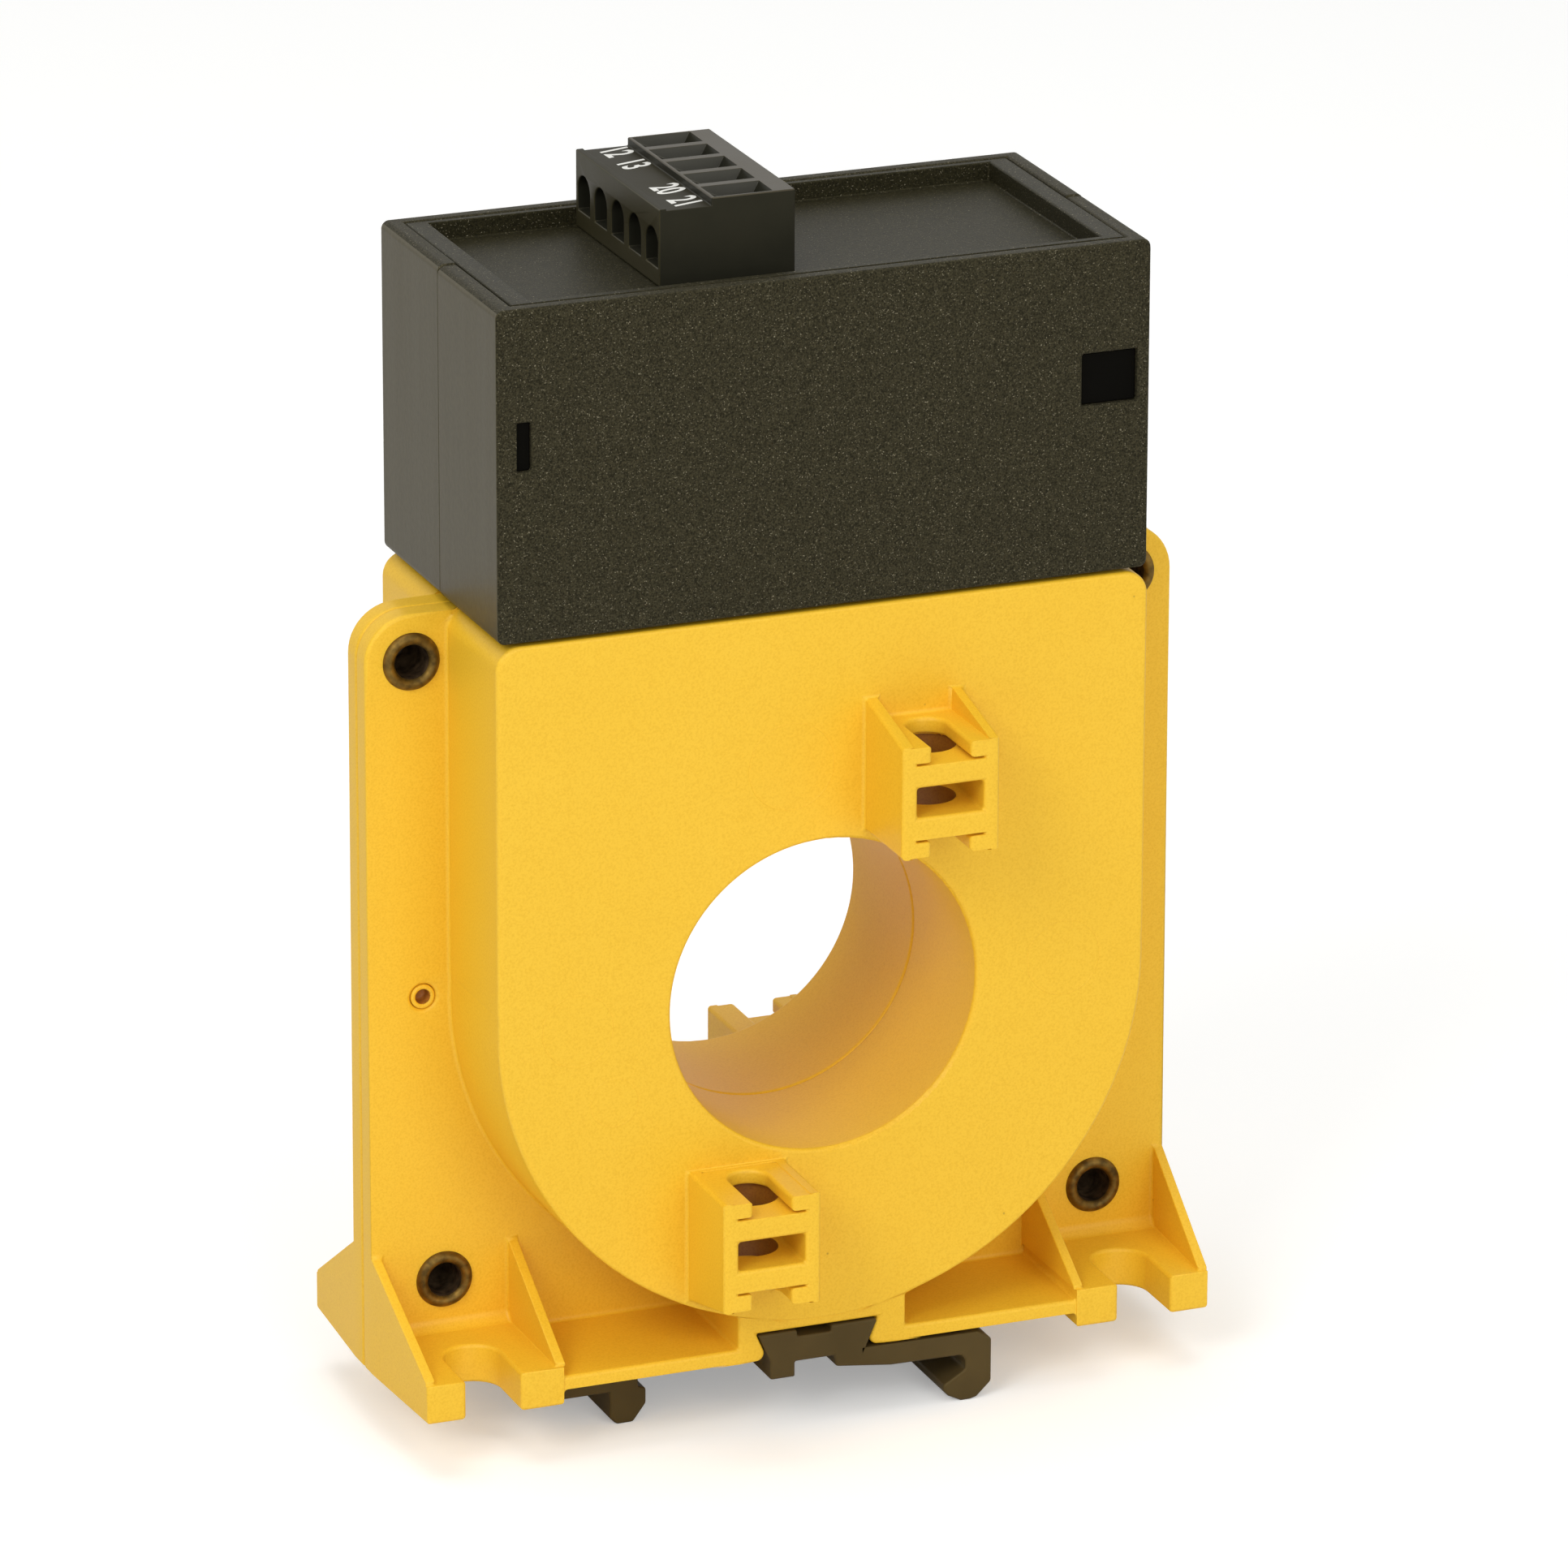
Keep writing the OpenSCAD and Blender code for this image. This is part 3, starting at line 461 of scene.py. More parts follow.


# %% [markdown]
# ## Yellow polyamide
#
# The housing is moulded in a yellow, glass-filled polyamide. The glass keeps
# it satin and mottles it very finely, and the colour clouds a little where
# the melt flowed. Rare dark specks come with recycled feed. An image of
# plastic could be wrapped round it, but noise in the solid's own space has no
# seams and keeps its size on every face. The walls deep in the narrow wells
# of the lugs get a brown copy of the yellow, which is painted shade. The
# small pin holes in the flange get a lighter brown copy, painted shade too.

# %% Recipe for the moulded polyamide
YELLOW = "#f1c233"
YELLOW_CLOUD = "#efbe2c"
MOTTLE = "#e3ae1c"
SPECK = "#a06d1c"
CLOUD_MM = 14.0
MOTTLE_MM = 0.22
SPECK_MM = 9.0


def per_metre(size_mm):
    return 1 / (size_mm * MM)


def moulded_polyamide(name, base, cloudy, mottle):
    made, tree = empty_material(name)
    at = add(tree, "ShaderNodeTexCoord").outputs["Object"]
    cloud = add(tree, "ShaderNodeTexNoise", {"Vector": at, "Scale": per_metre(CLOUD_MM), "Detail": 3.0})
    tint = add(tree, "ShaderNodeMix", {"Factor": cloud.outputs["Fac"], 6: ink(base), 7: ink(cloudy)},
               data_type="RGBA")
    grain = add(tree, "ShaderNodeTexNoise", {"Vector": at, "Scale": per_metre(MOTTLE_MM), "Detail": 2.0})
    fleck = add(tree, "ShaderNodeMapRange", {"Value": grain.outputs["Fac"], "From Min": 0.42,
                                             "From Max": 0.75, "To Max": 0.7})
    mottled = add(tree, "ShaderNodeMix", {"Factor": fleck.outputs[0], 6: tint.outputs[2], 7: ink(mottle)},
                  data_type="RGBA")
    speck = add(tree, "ShaderNodeTexVoronoi", {"Vector": at, "Scale": per_metre(SPECK_MM)})
    dot = add(tree, "ShaderNodeMapRange", {"Value": speck.outputs["Distance"], "From Min": 0.012,
                                           "From Max": 0.022, "To Min": 0.6, "To Max": 0.0})
    colour = add(tree, "ShaderNodeMix", {"Factor": dot.outputs[0], 6: mottled.outputs[2], 7: ink(SPECK)},
                 data_type="RGBA")
    bump = add(tree, "ShaderNodeBump", {"Height": grain.outputs["Fac"], "Strength": 0.2,
                                        "Distance": 0.02 * MM})
    shader = add(tree, "ShaderNodeBsdfPrincipled", {
        "Base Color": colour.outputs[2], "Normal": bump.outputs[0], "Roughness": 0.46, "IOR": 1.5,
        "Specular IOR Level": 0.35})
    add(tree, "ShaderNodeOutputMaterial", {"Surface": shader.outputs[0]})
    return made


YELLOW_POLYAMIDE = moulded_polyamide("moulded_polyamide_yellow", YELLOW, YELLOW_CLOUD, MOTTLE)
# a brown copy of the yellow for the walls deep in the lug wells: painted shade
WELL_PAINTED_SHADE = moulded_polyamide("painted_shade_polyamide_well", "#96621f", "#895618", "#764612")
# a lighter brown copy for the flange pin holes: painted shade
PIN_HOLE_PAINTED_SHADE = moulded_polyamide("painted_shade_polyamide_pin_hole", "#bd7c30", "#b07028", "#98601e")
print("made", YELLOW_POLYAMIDE.name, WELL_PAINTED_SHADE.name, "and", PIN_HOLE_PAINTED_SHADE.name)

# %% Give some faces of a piece another finish
def finish_faces(piece, material, belongs):
    piece.data.materials.append(material)
    index = len(piece.data.materials) - 1
    chosen = [face for face in piece.data.polygons if belongs(face)]
    for face in chosen:
        face.material_index = index
    print(piece.name, "has", len(chosen), "faces of", material.name)


# %% Mould the two half shells
# sizes in millimetres; a wall's normal has less than WALL_SLANT upwards
SHELL_EDGE = 0.45
LUG_X, LUG_FRONT = 10.05, 24.3
WELL_DEPTH, WELL_REACH = 21.25, 3.3
WELL_LOW, WELL_HIGH = 19.85, 28.3
WALL_SLANT = 0.8
PIN_X, PIN_REACH = 40.03, 0.95
PIN_BOTTOM, PIN_TOP = 1.0, 2.65


def in_well(face):
    x, y, z = (abs(value) / MM for value in face.center)
    near = math.hypot(x - LUG_X, y - WELL_DEPTH) < WELL_REACH and y < LUG_FRONT
    return near and WELL_LOW < z < WELL_HIGH and abs(face.normal.z) < WALL_SLANT


def in_pin_hole(face):
    x, y, z = (abs(value) / MM for value in face.center)
    return math.hypot(x - PIN_X, z) < PIN_REACH and PIN_BOTTOM < y < PIN_TOP


for half in ("front_shell", "rear_shell"):
    shell = moulded(half, SHELL_EDGE, "housing", YELLOW_POLYAMIDE)
    # the walls deep in the lug wells take a brown copy: painted shade
    finish_faces(shell, WELL_PAINTED_SHADE, in_well)
    # the flange pin holes take a lighter brown copy: painted shade
    finish_faces(shell, PIN_HOLE_PAINTED_SHADE, in_pin_hole)

# %% [markdown]
# ## Spark-eroded black box
#
# The mould for the box was cut by sparks, which leave thousands of tiny
# craters. They print on the plastic as a grain of a fifth of a millimetre.
# Modelling each crater would take millions of faces, so the grain is a bump
# with a real crater's width. The bright points on the finest crests are
# painted highlights: pale specks mixed into the colour.

# %% Recipe for the grained black plastic
CRATER_MM = 0.21
CREST_MM = 0.8 * CRATER_MM
# pale colour of the painted highlights on the finest crests
PAINTED_GLINT = "#8d8670"
WARM = "#dccfa8"


def spark_eroded_abs(name, dark, light, sheen, rough):
    made, tree = empty_material(name)
    at = add(tree, "ShaderNodeTexCoord").outputs["Object"]
    crater = add(tree, "ShaderNodeTexNoise", {"Vector": at, "Scale": per_metre(CRATER_MM), "Detail": 2.0,
                                              "Roughness": 0.7})
    shade = add(tree, "ShaderNodeMapRange", {"Value": crater.outputs["Fac"], "From Min": 0.35,
                                             "From Max": 0.7})
    body = add(tree, "ShaderNodeMix", {"Factor": shade.outputs[0], 6: ink(dark), 7: ink(light)},
               data_type="RGBA")
    # pale specks on the finest crests: painted highlights in the colour
    crest = add(tree, "ShaderNodeTexNoise", {"Vector": at, "Scale": per_metre(CREST_MM), "Detail": 1.0})
    painted_glint = add(tree, "ShaderNodeMapRange", {"Value": crest.outputs["Fac"], "From Min": 0.66,
                                             "From Max": 0.8})
    colour = add(tree, "ShaderNodeMix", {"Factor": painted_glint.outputs[0], 6: body.outputs[2], 7: ink(PAINTED_GLINT)},
                 data_type="RGBA")
    pits = add(tree, "ShaderNodeBump", {"Height": crater.outputs["Fac"], "Strength": 0.8,
                                        "Distance": 0.04 * MM})
    shader = add(tree, "ShaderNodeBsdfPrincipled", {"Base Color": colour.outputs[2], "Roughness": rough,
                                                    "IOR": 1.54, "Specular IOR Level": sheen,
                                                    "Specular Tint": ink(WARM), "Normal": pits.outputs[0]})
    add(tree, "ShaderNodeOutputMaterial", {"Surface": shader.outputs[0]})
    return made


BOX_ABS = spark_eroded_abs("spark_eroded_abs_black", "#16150d", "#403c2c", 0.15, 0.55)
# a darker copy for the sunk cover: painted shade of the recess
COVER_ABS_SHADED = spark_eroded_abs("spark_eroded_abs_cover_painted_shade", "#17160d", "#302d1d", 0.16, 0.5)
print("made", BOX_ABS.name, "and", COVER_ABS_SHADED.name)

# %% [markdown]
# The box's two ends slide along the mould as it opens, which draws them
# smooth, and they sink a little as they cool. They could be pieces of their
# own, but they are faces of the same mouldings, so they only get a second
# finish: no craters, a finer scuff, and long faint streaks in the way of
# the draw. Their colour is also paler than the grained faces, and that
# paleness is painted sheen.

# %% Recipe for the drawn sides
STREAK_MM = 5.0
SCUFF_MM = 0.6
DRAW = 0.08


def drawn_abs(name, dark, light):
    made, tree = empty_material(name)
    at = add(tree, "ShaderNodeTexCoord").outputs["Object"]
    stretch = add(tree, "ShaderNodeMapping", {"Vector": at, "Scale": (1.0, 1.0, DRAW)})
    streak = add(tree, "ShaderNodeTexNoise", {"Vector": stretch.outputs[0], "Scale": per_metre(STREAK_MM)})
    scuff = add(tree, "ShaderNodeTexNoise", {"Vector": at, "Scale": per_metre(SCUFF_MM), "Detail": 3.0})
    colour = add(tree, "ShaderNodeMix", {"Factor": scuff.outputs["Fac"], 6: ink(dark), 7: ink(light)},
                 data_type="RGBA")
    sink = add(tree, "ShaderNodeBump", {"Height": streak.outputs["Fac"], "Strength": 0.3,
                                        "Distance": 0.25 * MM})
    fine = add(tree, "ShaderNodeBump", {"Height": scuff.outputs["Fac"], "Strength": 0.25,
                                        "Distance": 0.05 * MM, "Normal": sink.outputs[0]})
    shader = add(tree, "ShaderNodeBsdfPrincipled", {"Base Color": colour.outputs[2], "Roughness": 0.42,
                                                    "IOR": 1.54, "Specular IOR Level": 0.35,
                                                    "Specular Tint": ink(WARM), "Normal": fine.outputs[0]})
    add(tree, "ShaderNodeOutputMaterial", {"Surface": shader.outputs[0]})
    return made


# the ends are paler than the grained faces: drawn smooth, with painted sheen in the colour
DRAWN_ABS_SHEEN = drawn_abs("drawn_abs_side_painted_sheen", "#3a3526", "#4d4734")
print("made", DRAWN_ABS_SHEEN.name)

# %% Mould the box and its sunk cover
BOX_EDGE, COVER_EDGE = 0.3, 0.2
BOX_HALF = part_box("box_front")[1].x
END_DEPTH = 0.5 * MM
END_SLANT = 0.8


def on_end(face):
    return abs(face.normal.x) > END_SLANT and abs(face.center.x) > BOX_HALF - END_DEPTH


# the ends take the paler copy, whose paleness is painted sheen
for half in ("box_front", "box_rear"):
    finish_faces(moulded(half, BOX_EDGE, "housing", BOX_ABS), DRAWN_ABS_SHEEN, on_end)
# the sunk cover takes the darker copy: painted shade
moulded("top_cover", COVER_EDGE, "housing", COVER_ABS_SHADED)

# %% [markdown]
# ## Smooth black mouldings
#
# The terminal plug, the rail clip and the small inserts are polyamide from
# polished moulds, so they have no grain to speak of: a soft shine, a slight
# orange peel and a brownish cast that fills in the highlights. One recipe
# serves them all, because only the colour and the shine differ. The plug's
# top faces get a paler copy, which is painted light from above.

# %% Recipe for the smooth dark polyamide
FLOW_MM = 6.0
PEEL_MM = 0.9
SHINE_SPREAD = 0.06


def polished_polyamide(name, dark, cloud, rough, sheen):
    made, tree = empty_material(name)
    at = add(tree, "ShaderNodeTexCoord").outputs["Object"]
    flow = add(tree, "ShaderNodeTexNoise", {"Vector": at, "Scale": per_metre(FLOW_MM), "Detail": 4.0})
    colour = add(tree, "ShaderNodeMix", {"Factor": flow.outputs["Fac"], 6: ink(dark), 7: ink(cloud)},
                 data_type="RGBA")
    peel = add(tree, "ShaderNodeTexNoise", {"Vector": at, "Scale": per_metre(PEEL_MM), "Detail": 3.0})
    bump = add(tree, "ShaderNodeBump", {"Height": peel.outputs["Fac"], "Strength": 0.3,
                                        "Distance": 0.02 * MM})
    gloss = add(tree, "ShaderNodeMapRange", {"Value": flow.outputs["Fac"], "To Min": rough - SHINE_SPREAD,
                                             "To Max": rough + SHINE_SPREAD})
    shader = add(tree, "ShaderNodeBsdfPrincipled", {"Base Color": colour.outputs[2], "IOR": 1.53,
                                                    "Roughness": gloss.outputs[0],
                                                    "Specular IOR Level": sheen,
                                                    "Specular Tint": ink(WARM), "Normal": bump.outputs[0]})
    add(tree, "ShaderNodeOutputMaterial", {"Surface": shader.outputs[0]})
    return made


PLUG_POLYAMIDE = polished_polyamide("polished_polyamide_plug", "#20201a", "#2b2a21", 0.42, 0.15)
# a paler copy for the side where the wires go in: painted light
PLUG_ENTRY_LIT = polished_polyamide("painted_light_polyamide_entry_side", "#2f2c1d", "#3a3624", 0.42, 0.25)
PLUG_LABEL = polished_polyamide("polished_polyamide_label_strip", "#24221a", "#2f2c1f", 0.5, 0.1)
# a paler copy for the plug's top faces: painted light from above
PLUG_TOP_LIT = polished_polyamide("painted_light_polyamide_plug_top", "#37332a", "#443f34", 0.42, 0.3)
# a greyer copy for the pocket walls, open to the sky: painted light
PLUG_POCKET_LIT = polished_polyamide("painted_light_polyamide_pocket", "#4a4943", "#5a5952", 0.35, 0.3)
CLIP_POLYAMIDE = polished_polyamide("polished_polyamide_clip", "#42351c", "#574728", 0.5, 0.3)
INSERT_POLYAMIDE = polished_polyamide("polished_polyamide_insert", "#040404", "#080808", 0.6, 0.05)
print("made the dark polyamides")

# %% [markdown]
# Four parts of the plug have a material of their own: the side where the wires
# go in, the strip that carries the numbers, the top faces and the walls of the
# pockets. The entry side and the top faces are painted paler, and the pocket
# walls, which lie open to the sky, are painted greyer: all three are painted
# light. Each is picked by where its faces lie and which way they face.

# %% Mould the plug
PLUG_EDGE = 0.15
PLUG_LOW, PLUG_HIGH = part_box("terminal_plug")
RAISED_WIDTH, LABEL_DROP = 9.35 * MM, 0.9 * MM
RAISED_X = PLUG_HIGH.x - RAISED_WIDTH
LABEL_TOP = PLUG_HIGH.z - LABEL_DROP
SKIN, THIN_SKIN = 0.3 * MM, 0.12 * MM
LEVEL, TILTED, SLOPING, UPRIGHT = 0.8, 0.25, 0.3, 0.5
POCKET_DEPTH, POCKET_RIM, BACK_WALL = 1.5 * MM, 0.1 * MM, 1.5 * MM


def is_entry_side(face):
    return face.center.x < PLUG_LOW.x + SKIN and face.normal.x < -SLOPING


def is_label_strip(face):
    return face.center.z > LABEL_TOP - SKIN and face.center.x < RAISED_X and face.normal.z > LEVEL


# picks the plug's top faces, which get painted light from above
def is_lit_top(face):
    return face.center.z > PLUG_HIGH.z - THIN_SKIN and face.normal.z > TILTED


def is_pocket_wall(face):
    deep = LABEL_TOP - POCKET_DEPTH < face.center.z < PLUG_HIGH.z - POCKET_RIM
    inside = RAISED_X + SKIN < face.center.x < PLUG_HIGH.x - BACK_WALL
    return deep and inside and face.center.y > PLUG_LOW.y + SKIN and face.normal.y < -UPRIGHT


plug = moulded("terminal_plug", PLUG_EDGE, "plug", PLUG_POLYAMIDE)
# the entry side takes a paler copy: painted light
finish_faces(plug, PLUG_ENTRY_LIT, is_entry_side)
finish_faces(plug, PLUG_LABEL, is_label_strip)
# the top faces take a paler copy: painted light from above
finish_faces(plug, PLUG_TOP_LIT, is_lit_top)
# the pocket walls take a greyer copy: painted light
finish_faces(plug, PLUG_POCKET_LIT, is_pocket_wall)

# %% Mould the clip and the inserts
CLIP_EDGE, INSERT_EDGE = 0.3, 0.08
moulded("rail_clip", CLIP_EDGE, "clip", CLIP_POLYAMIDE)
moulded("light_guide", INSERT_EDGE, "housing", INSERT_POLYAMIDE)
moulded("blanking_plug", INSERT_EDGE, "housing", INSERT_POLYAMIDE)

# %% [markdown]
# ## Aged brass rivets
#
# Four tubular rivets hold the halves together. Each end was rolled outwards
# by a punch, which leaves a round collar with a trumpet mouth. A collar is a
# shape of revolution, so its section is drawn once and turned about the
# rivet's axis, as a lathe would do it. A screw modifier could turn it too,
# but a short loop gives closed rings with nothing to weld. The bore narrows
# to a throat at its rear end, because the photograph shows no daylight
# through it.

# %% Turn a section about an axis along Y
TURNS = 64


def arc(centre, size, start, end, steps):
    angles = [math.radians(start + (end - start) * i / steps) for i in range(steps + 1)]
    return [(centre[0] + size[0] * math.cos(a), centre[1] + size[1] * math.sin(a)) for a in angles]


def turned(section, at, steps=TURNS):
    made = bmesh.new()
    rings = []
    for i in range(steps):
        a = 2 * math.pi * i / steps
        across, up = math.cos(a) * MM, math.sin(a) * MM
        rings.append([made.verts.new((at[0] + r * across, at[1] + y * MM, at[2] + r * up))
                      for r, y in section])
    for ring, following in zip(rings, rings[1:] + rings[:1]):
        for i in range(len(section)):
            j = (i + 1) % len(section)
            made.faces.new((ring[i], ring[j], following[j], following[i]))
    bmesh.ops.recalc_face_normals(made, faces=made.faces)
    return made


# %% [markdown]
# Brass this old is brown all over and brighter on the crest of the roll. The
# bore gets a near-black copy with no metal shine, which is painted shade of
# the deep, narrow hole.

# %% Recipe for the aged brass
STAIN_MM = 1.1


def aged_brass(name, dark, worn_colour, metal, rough, sheen):
    made, tree = empty_material(name)
    at = add(tree, "ShaderNodeTexCoord").outputs["Object"]
    stain = add(tree, "ShaderNodeTexNoise", {"Vector": at, "Scale": per_metre(STAIN_MM), "Detail": 5.0})
    worn = add(tree, "ShaderNodeMapRange", {"Value": stain.outputs["Fac"], "From Min": 0.35,
                                            "From Max": 0.7})
    colour = add(tree, "ShaderNodeMix", {"Factor": worn.outputs[0], 6: ink(dark), 7: ink(worn_colour)},
                 data_type="RGBA")
    gloss = add(tree, "ShaderNodeMapRange", {"Value": stain.outputs["Fac"], "To Min": rough + 0.1,
                                             "To Max": rough - 0.1})
    bump = add(tree, "ShaderNodeBump", {"Height": stain.outputs["Fac"], "Strength": 0.4,
                                        "Distance": 0.03 * MM})
    shader = add(tree, "ShaderNodeBsdfPrincipled", {"Base Color": colour.outputs[2], "Metallic": metal,
                                                    "Roughness": gloss.outputs[0],
                                                    "Specular IOR Level": sheen,
                                                    "Normal": bump.outputs[0]})
    add(tree, "ShaderNodeOutputMaterial", {"Surface": shader.outputs[0]})
    return made


AGED_BRASS = aged_brass("aged_rolled_brass", "#4f3c14", "#86682a", 0.75, 0.5, 0.5)
# a near-black copy with no metal shine for the bores: painted shade of the deep hole
BORE_PAINTED_SHADE = aged_brass("painted_shade_brass_bore", "#241a10", "#4a3a28", 0.0, 0.85, 0.05)
print("made", AGED_BRASS.name, "and", BORE_PAINTED_SHADE.name)

# %% Roll the four rivets
RIVET_BORE, RIVET_SHANK, RIVET_RIM, RIVET_THROAT = 1.85, 2.25, 3.2, 0.75
COLLAR, COLLAR_STEPS, BORE_SKIN = 0.85, 14, 0.08
SEAT_RIM, MOUTH_DEPTH = RIVET_RIM - 0.05, 0.2
THROAT_FROM, THROAT_TO, TAPER_TO = 0.3, 0.9, 1.6
RIVETS = ("rivet_top_left", "rivet_top_right", "rivet_bottom_left", "rivet_bottom_right")


def rivet_section(half_length, collar):
    middle = (RIVET_BORE + RIVET_RIM) / 2
    size = (RIVET_RIM - middle, collar)
    seat = half_length - collar
    roll = arc((middle, seat), size, 0, 180, COLLAR_STEPS)
    upper = [(RIVET_SHANK, seat), (SEAT_RIM, seat)] + roll + [(RIVET_BORE, seat - MOUTH_DEPTH)]
    lower = [(r, -y) for r, y in reversed(upper)]
    throat = [(RIVET_THROAT, seat - THROAT_FROM), (RIVET_THROAT, seat - THROAT_TO),
              (RIVET_BORE, seat - TAPER_TO)]
    return upper + throat + lower


def from_axis(face, middle):
    return math.hypot(face.center.x - middle.x, face.center.z - middle.z)


for name in RIVETS:
    low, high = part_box(name)
    middle = (low + high) / 2
    half = (high.y - low.y) / 2 / MM
    rivet = show_mesh(name + "_rolled", turned(rivet_section(half, COLLAR), middle), "housing", AGED_BRASS)
    rivet.data.shade_smooth()
    # the bore takes the near-black copy: painted shade
    finish_faces(rivet, BORE_PAINTED_SHADE, lambda face: from_axis(face, middle) < (RIVET_BORE + BORE_SKIN) * MM)
    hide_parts(name)
print(len(RIVETS), "rivets rolled")

# %% [markdown]
# ## Ejector marks
#
# Pins push the moulding out of its mould and each leaves a faint ring. A bump
# could draw them, but thin raised rings are real shapes and catch the light
# from any side. They are turned like the rivets, with a three-cornered
# section that is sunk a little into the face.

# %% Raise the ejector marks on both faces
# each is x, z, radius
EJECTORS = [(-28.1, -0.3, 4.0), (-24.0, -9.0, 2.7), (27.6, 0.5, 4.2), (-3.9, 26.2, 4.85)]
FACE_Y = 17.7
MARK_RISE, MARK_SINK, MARK_HALF = 0.03, 0.02, 0.07
MARK_TURNS = 96
marks = bmesh.new()
for x, z, radius in EJECTORS:
    for side in (-1, 1):
        foot, crest = side * (FACE_Y - MARK_SINK), side * (FACE_Y + MARK_RISE)
        section = [(radius - MARK_HALF, foot), (radius, crest), (radius + MARK_HALF, foot)]
        ring = turned(section, Vector((-side * x * MM, 0, z * MM)), MARK_TURNS)
        spare = bpy.data.meshes.new("spare")
        ring.to_mesh(spare)
        marks.from_mesh(spare)
        ring.free()
        bpy.data.meshes.remove(spare)
ejector_marks = show_mesh("ejector_marks", marks, "housing", YELLOW_POLYAMIDE)
print(2 * len(EJECTORS), "ejector marks")

# %% [markdown]
# ## Terminal numbers
#
# White numbers are pad printed on the plug beside the wire entries, one above
# each pole in use. They are plain terminal numbers and read from the side
# where the wires go in. Text objects a hair thick keep their outlines sharp
# at any distance. Pad printing lays ink unevenly, so the white is patchy.

# %% Recipe for the white print
PATCH_MM = 0.5


def pad_print_ink(name, thick, thin):
    made, tree = empty_material(name)
    at = add(tree, "ShaderNodeTexCoord").outputs["Object"]
    patch = add(tree, "ShaderNodeTexNoise", {"Vector": at, "Scale": per_metre(PATCH_MM), "Detail": 3.0})
    colour = add(tree, "ShaderNodeMix", {"Factor": patch.outputs["Fac"], 6: ink(thick), 7: ink(thin)},
                 data_type="RGBA")
    shader = add(tree, "ShaderNodeBsdfPrincipled", {"Base Color": colour.outputs[2], "Roughness": 0.55})
    add(tree, "ShaderNodeOutputMaterial", {"Surface": shader.outputs[0]})
    return made


WHITE_PRINT = pad_print_ink("pad_print_white", "#f4f3ee", "#d9d8d0")
print("made", WHITE_PRINT.name)

# %% Print the numbers
PITCH = 5.0 * MM
LABELS = {2: "12", 1: "13", -1: "20", -2: "21"}
LABEL_X = PLUG_LOW.x + 3.75 * MM
LABEL_SIZE = 4.8 * MM
INK_HALF, INK_SPREAD = 0.015 * MM, 0.09 * MM
NARROW, LEAN = 0.66, -0.33
LABEL_TURN = math.radians(-87)
plug_middle = (PLUG_LOW.y + PLUG_HIGH.y) / 2
for step, words in LABELS.items():
    data = bpy.data.curves.new("number_" + words, "FONT")
    data.body, data.size, data.align_x, data.align_y = words, LABEL_SIZE, "CENTER", "CENTER"
    data.extrude, data.offset, data.shear = INK_HALF, INK_SPREAD, LEAN
    label = bpy.data.objects.new("number_" + words, data)
    SCENE.collection.objects.link(label)
    label.location = (LABEL_X, plug_middle + step * PITCH, LABEL_TOP)
    label.rotation_euler = (0, 0, LABEL_TURN)
    label.scale = (NARROW, 1, 1)
    data.materials.append(WHITE_PRINT)
    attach(label, "plug")
print("printed", ", ".join(LABELS.values()))

# %% [markdown]
# ## What is inside
#
# The inner parts are sealed in, but a part that is opened, cut or exported
# shows them, so each gets the finish of its real material. They keep the
# construction model's own faces, since they only show when the part is cut
# open, and one plain recipe with a pattern and a slight relief does for all.


# %% Recipe for the inner parts
def plain_finish(name, first, second, rough, metal=0.0, pattern_mm=1.0, relief_mm=0.01):
    made, tree = empty_material(name)
    at = add(tree, "ShaderNodeTexCoord").outputs["Object"]
    pattern = add(tree, "ShaderNodeTexNoise", {"Vector": at, "Scale": per_metre(pattern_mm), "Detail": 3.0})
    colour = add(tree, "ShaderNodeMix", {"Factor": pattern.outputs["Fac"], 6: ink(first), 7: ink(second)},
                 data_type="RGBA")
    bump = add(tree, "ShaderNodeBump", {"Height": pattern.outputs["Fac"], "Strength": 0.5,
                                        "Distance": relief_mm * MM})
    shader = add(tree, "ShaderNodeBsdfPrincipled", {"Base Color": colour.outputs[2], "Roughness": rough,
                                                    "Metallic": metal, "Normal": bump.outputs[0]})
    add(tree, "ShaderNodeOutputMaterial", {"Surface": shader.outputs[0]})
    return made


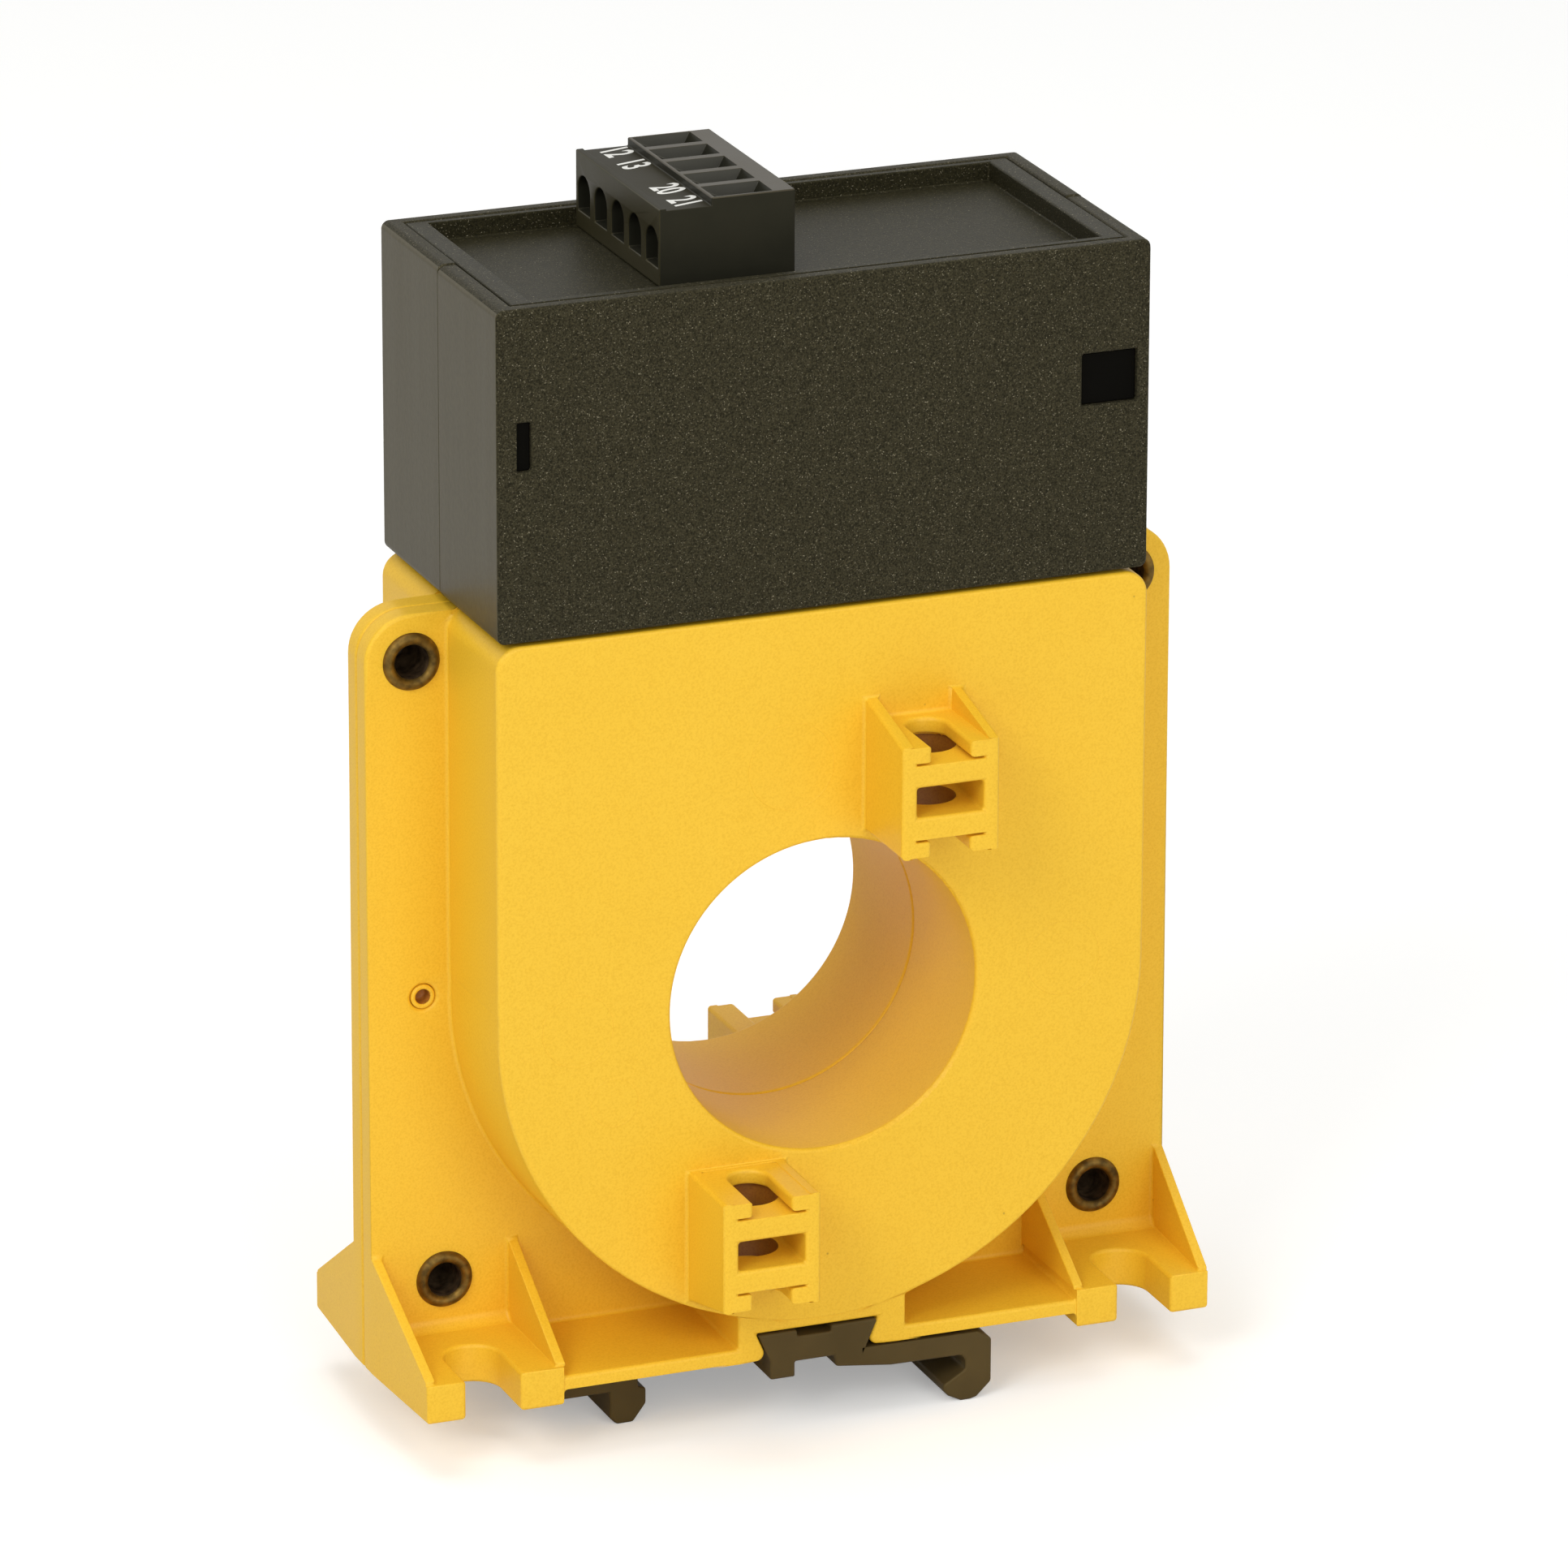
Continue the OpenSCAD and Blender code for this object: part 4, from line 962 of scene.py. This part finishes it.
# %% List what each inner part is made of
INNER = {
    # node: name, two colours, roughness, metallic, pattern and relief in mm
    "tape_core": plain_finish("rolled_silicon_steel_tape", "#8a8d92", "#6d7076", 0.35, 1.0, 0.5),
    "core_case": plain_finish("moulded_polycarbonate_case", "#cbbf9f", "#bfb28f", 0.45),
    "core_case_lid": plain_finish("moulded_polycarbonate_lid", "#cbbf9f", "#bfb28f", 0.45),
    "secondary_winding": plain_finish("enamelled_copper_wire", "#b0622d", "#7d3d17", 0.3, 0.8, 0.6, 0.1),
    "front_foam_ring": plain_finish("polyurethane_foam_front", "#5b5e62", "#3f4245", 0.9, 0.0, 0.8, 0.3),
    "rear_foam_ring": plain_finish("polyurethane_foam_rear", "#5b5e62", "#3f4245", 0.9, 0.0, 0.8, 0.3),
    "winding_leads": plain_finish("extruded_silicone_sleeve", "#a8392a", "#8d2d20", 0.5),
    "circuit_board": plain_finish("solder_resist_on_glass_epoxy", "#1f5b32", "#2c6f3f", 0.35, 0.0, 1.5),
    "board_chips": plain_finish("moulded_epoxy_chips", "#1c1c1e", "#27272a", 0.55),
    "converter_module": plain_finish("potted_epoxy_module", "#18191b", "#232427", 0.4),
    "capacitors": plain_finish("drawn_aluminium_can", "#a9acb0", "#8f9297", 0.35, 1.0),
    "status_led": plain_finish("clear_epoxy_lens", "#d8d6c8", "#e8e6da", 0.2),
    "lead_connector": plain_finish("moulded_white_nylon", "#e3dfd2", "#d5d0c1", 0.5),
    "terminal_header": plain_finish("moulded_header_polyamide", "#1b1a19", "#262422", 0.45),
    "header_pins": plain_finish("tinned_brass_pin", "#b4b5b3", "#8f908d", 0.3, 1.0),
}
for pole in range(1, 6):
    INNER[f"clamp_spring_{pole}"] = plain_finish(
        f"stainless_spring_strip_{pole}", "#9b9c9c", "#7b7c7e", 0.3, 1.0)
    INNER[f"plug_contact_{pole}"] = plain_finish(
        f"rolled_contact_bronze_{pole}", "#9c7a45", "#7d5f33", 0.35, 1.0)
print("made", len(INNER), "inner finishes")

# %% Finish the inner parts
for name, finish in INNER.items():
    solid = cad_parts[name]
    solid.data.materials.clear()
    solid.data.materials.append(finish)
print(len(INNER), "inner parts finished")
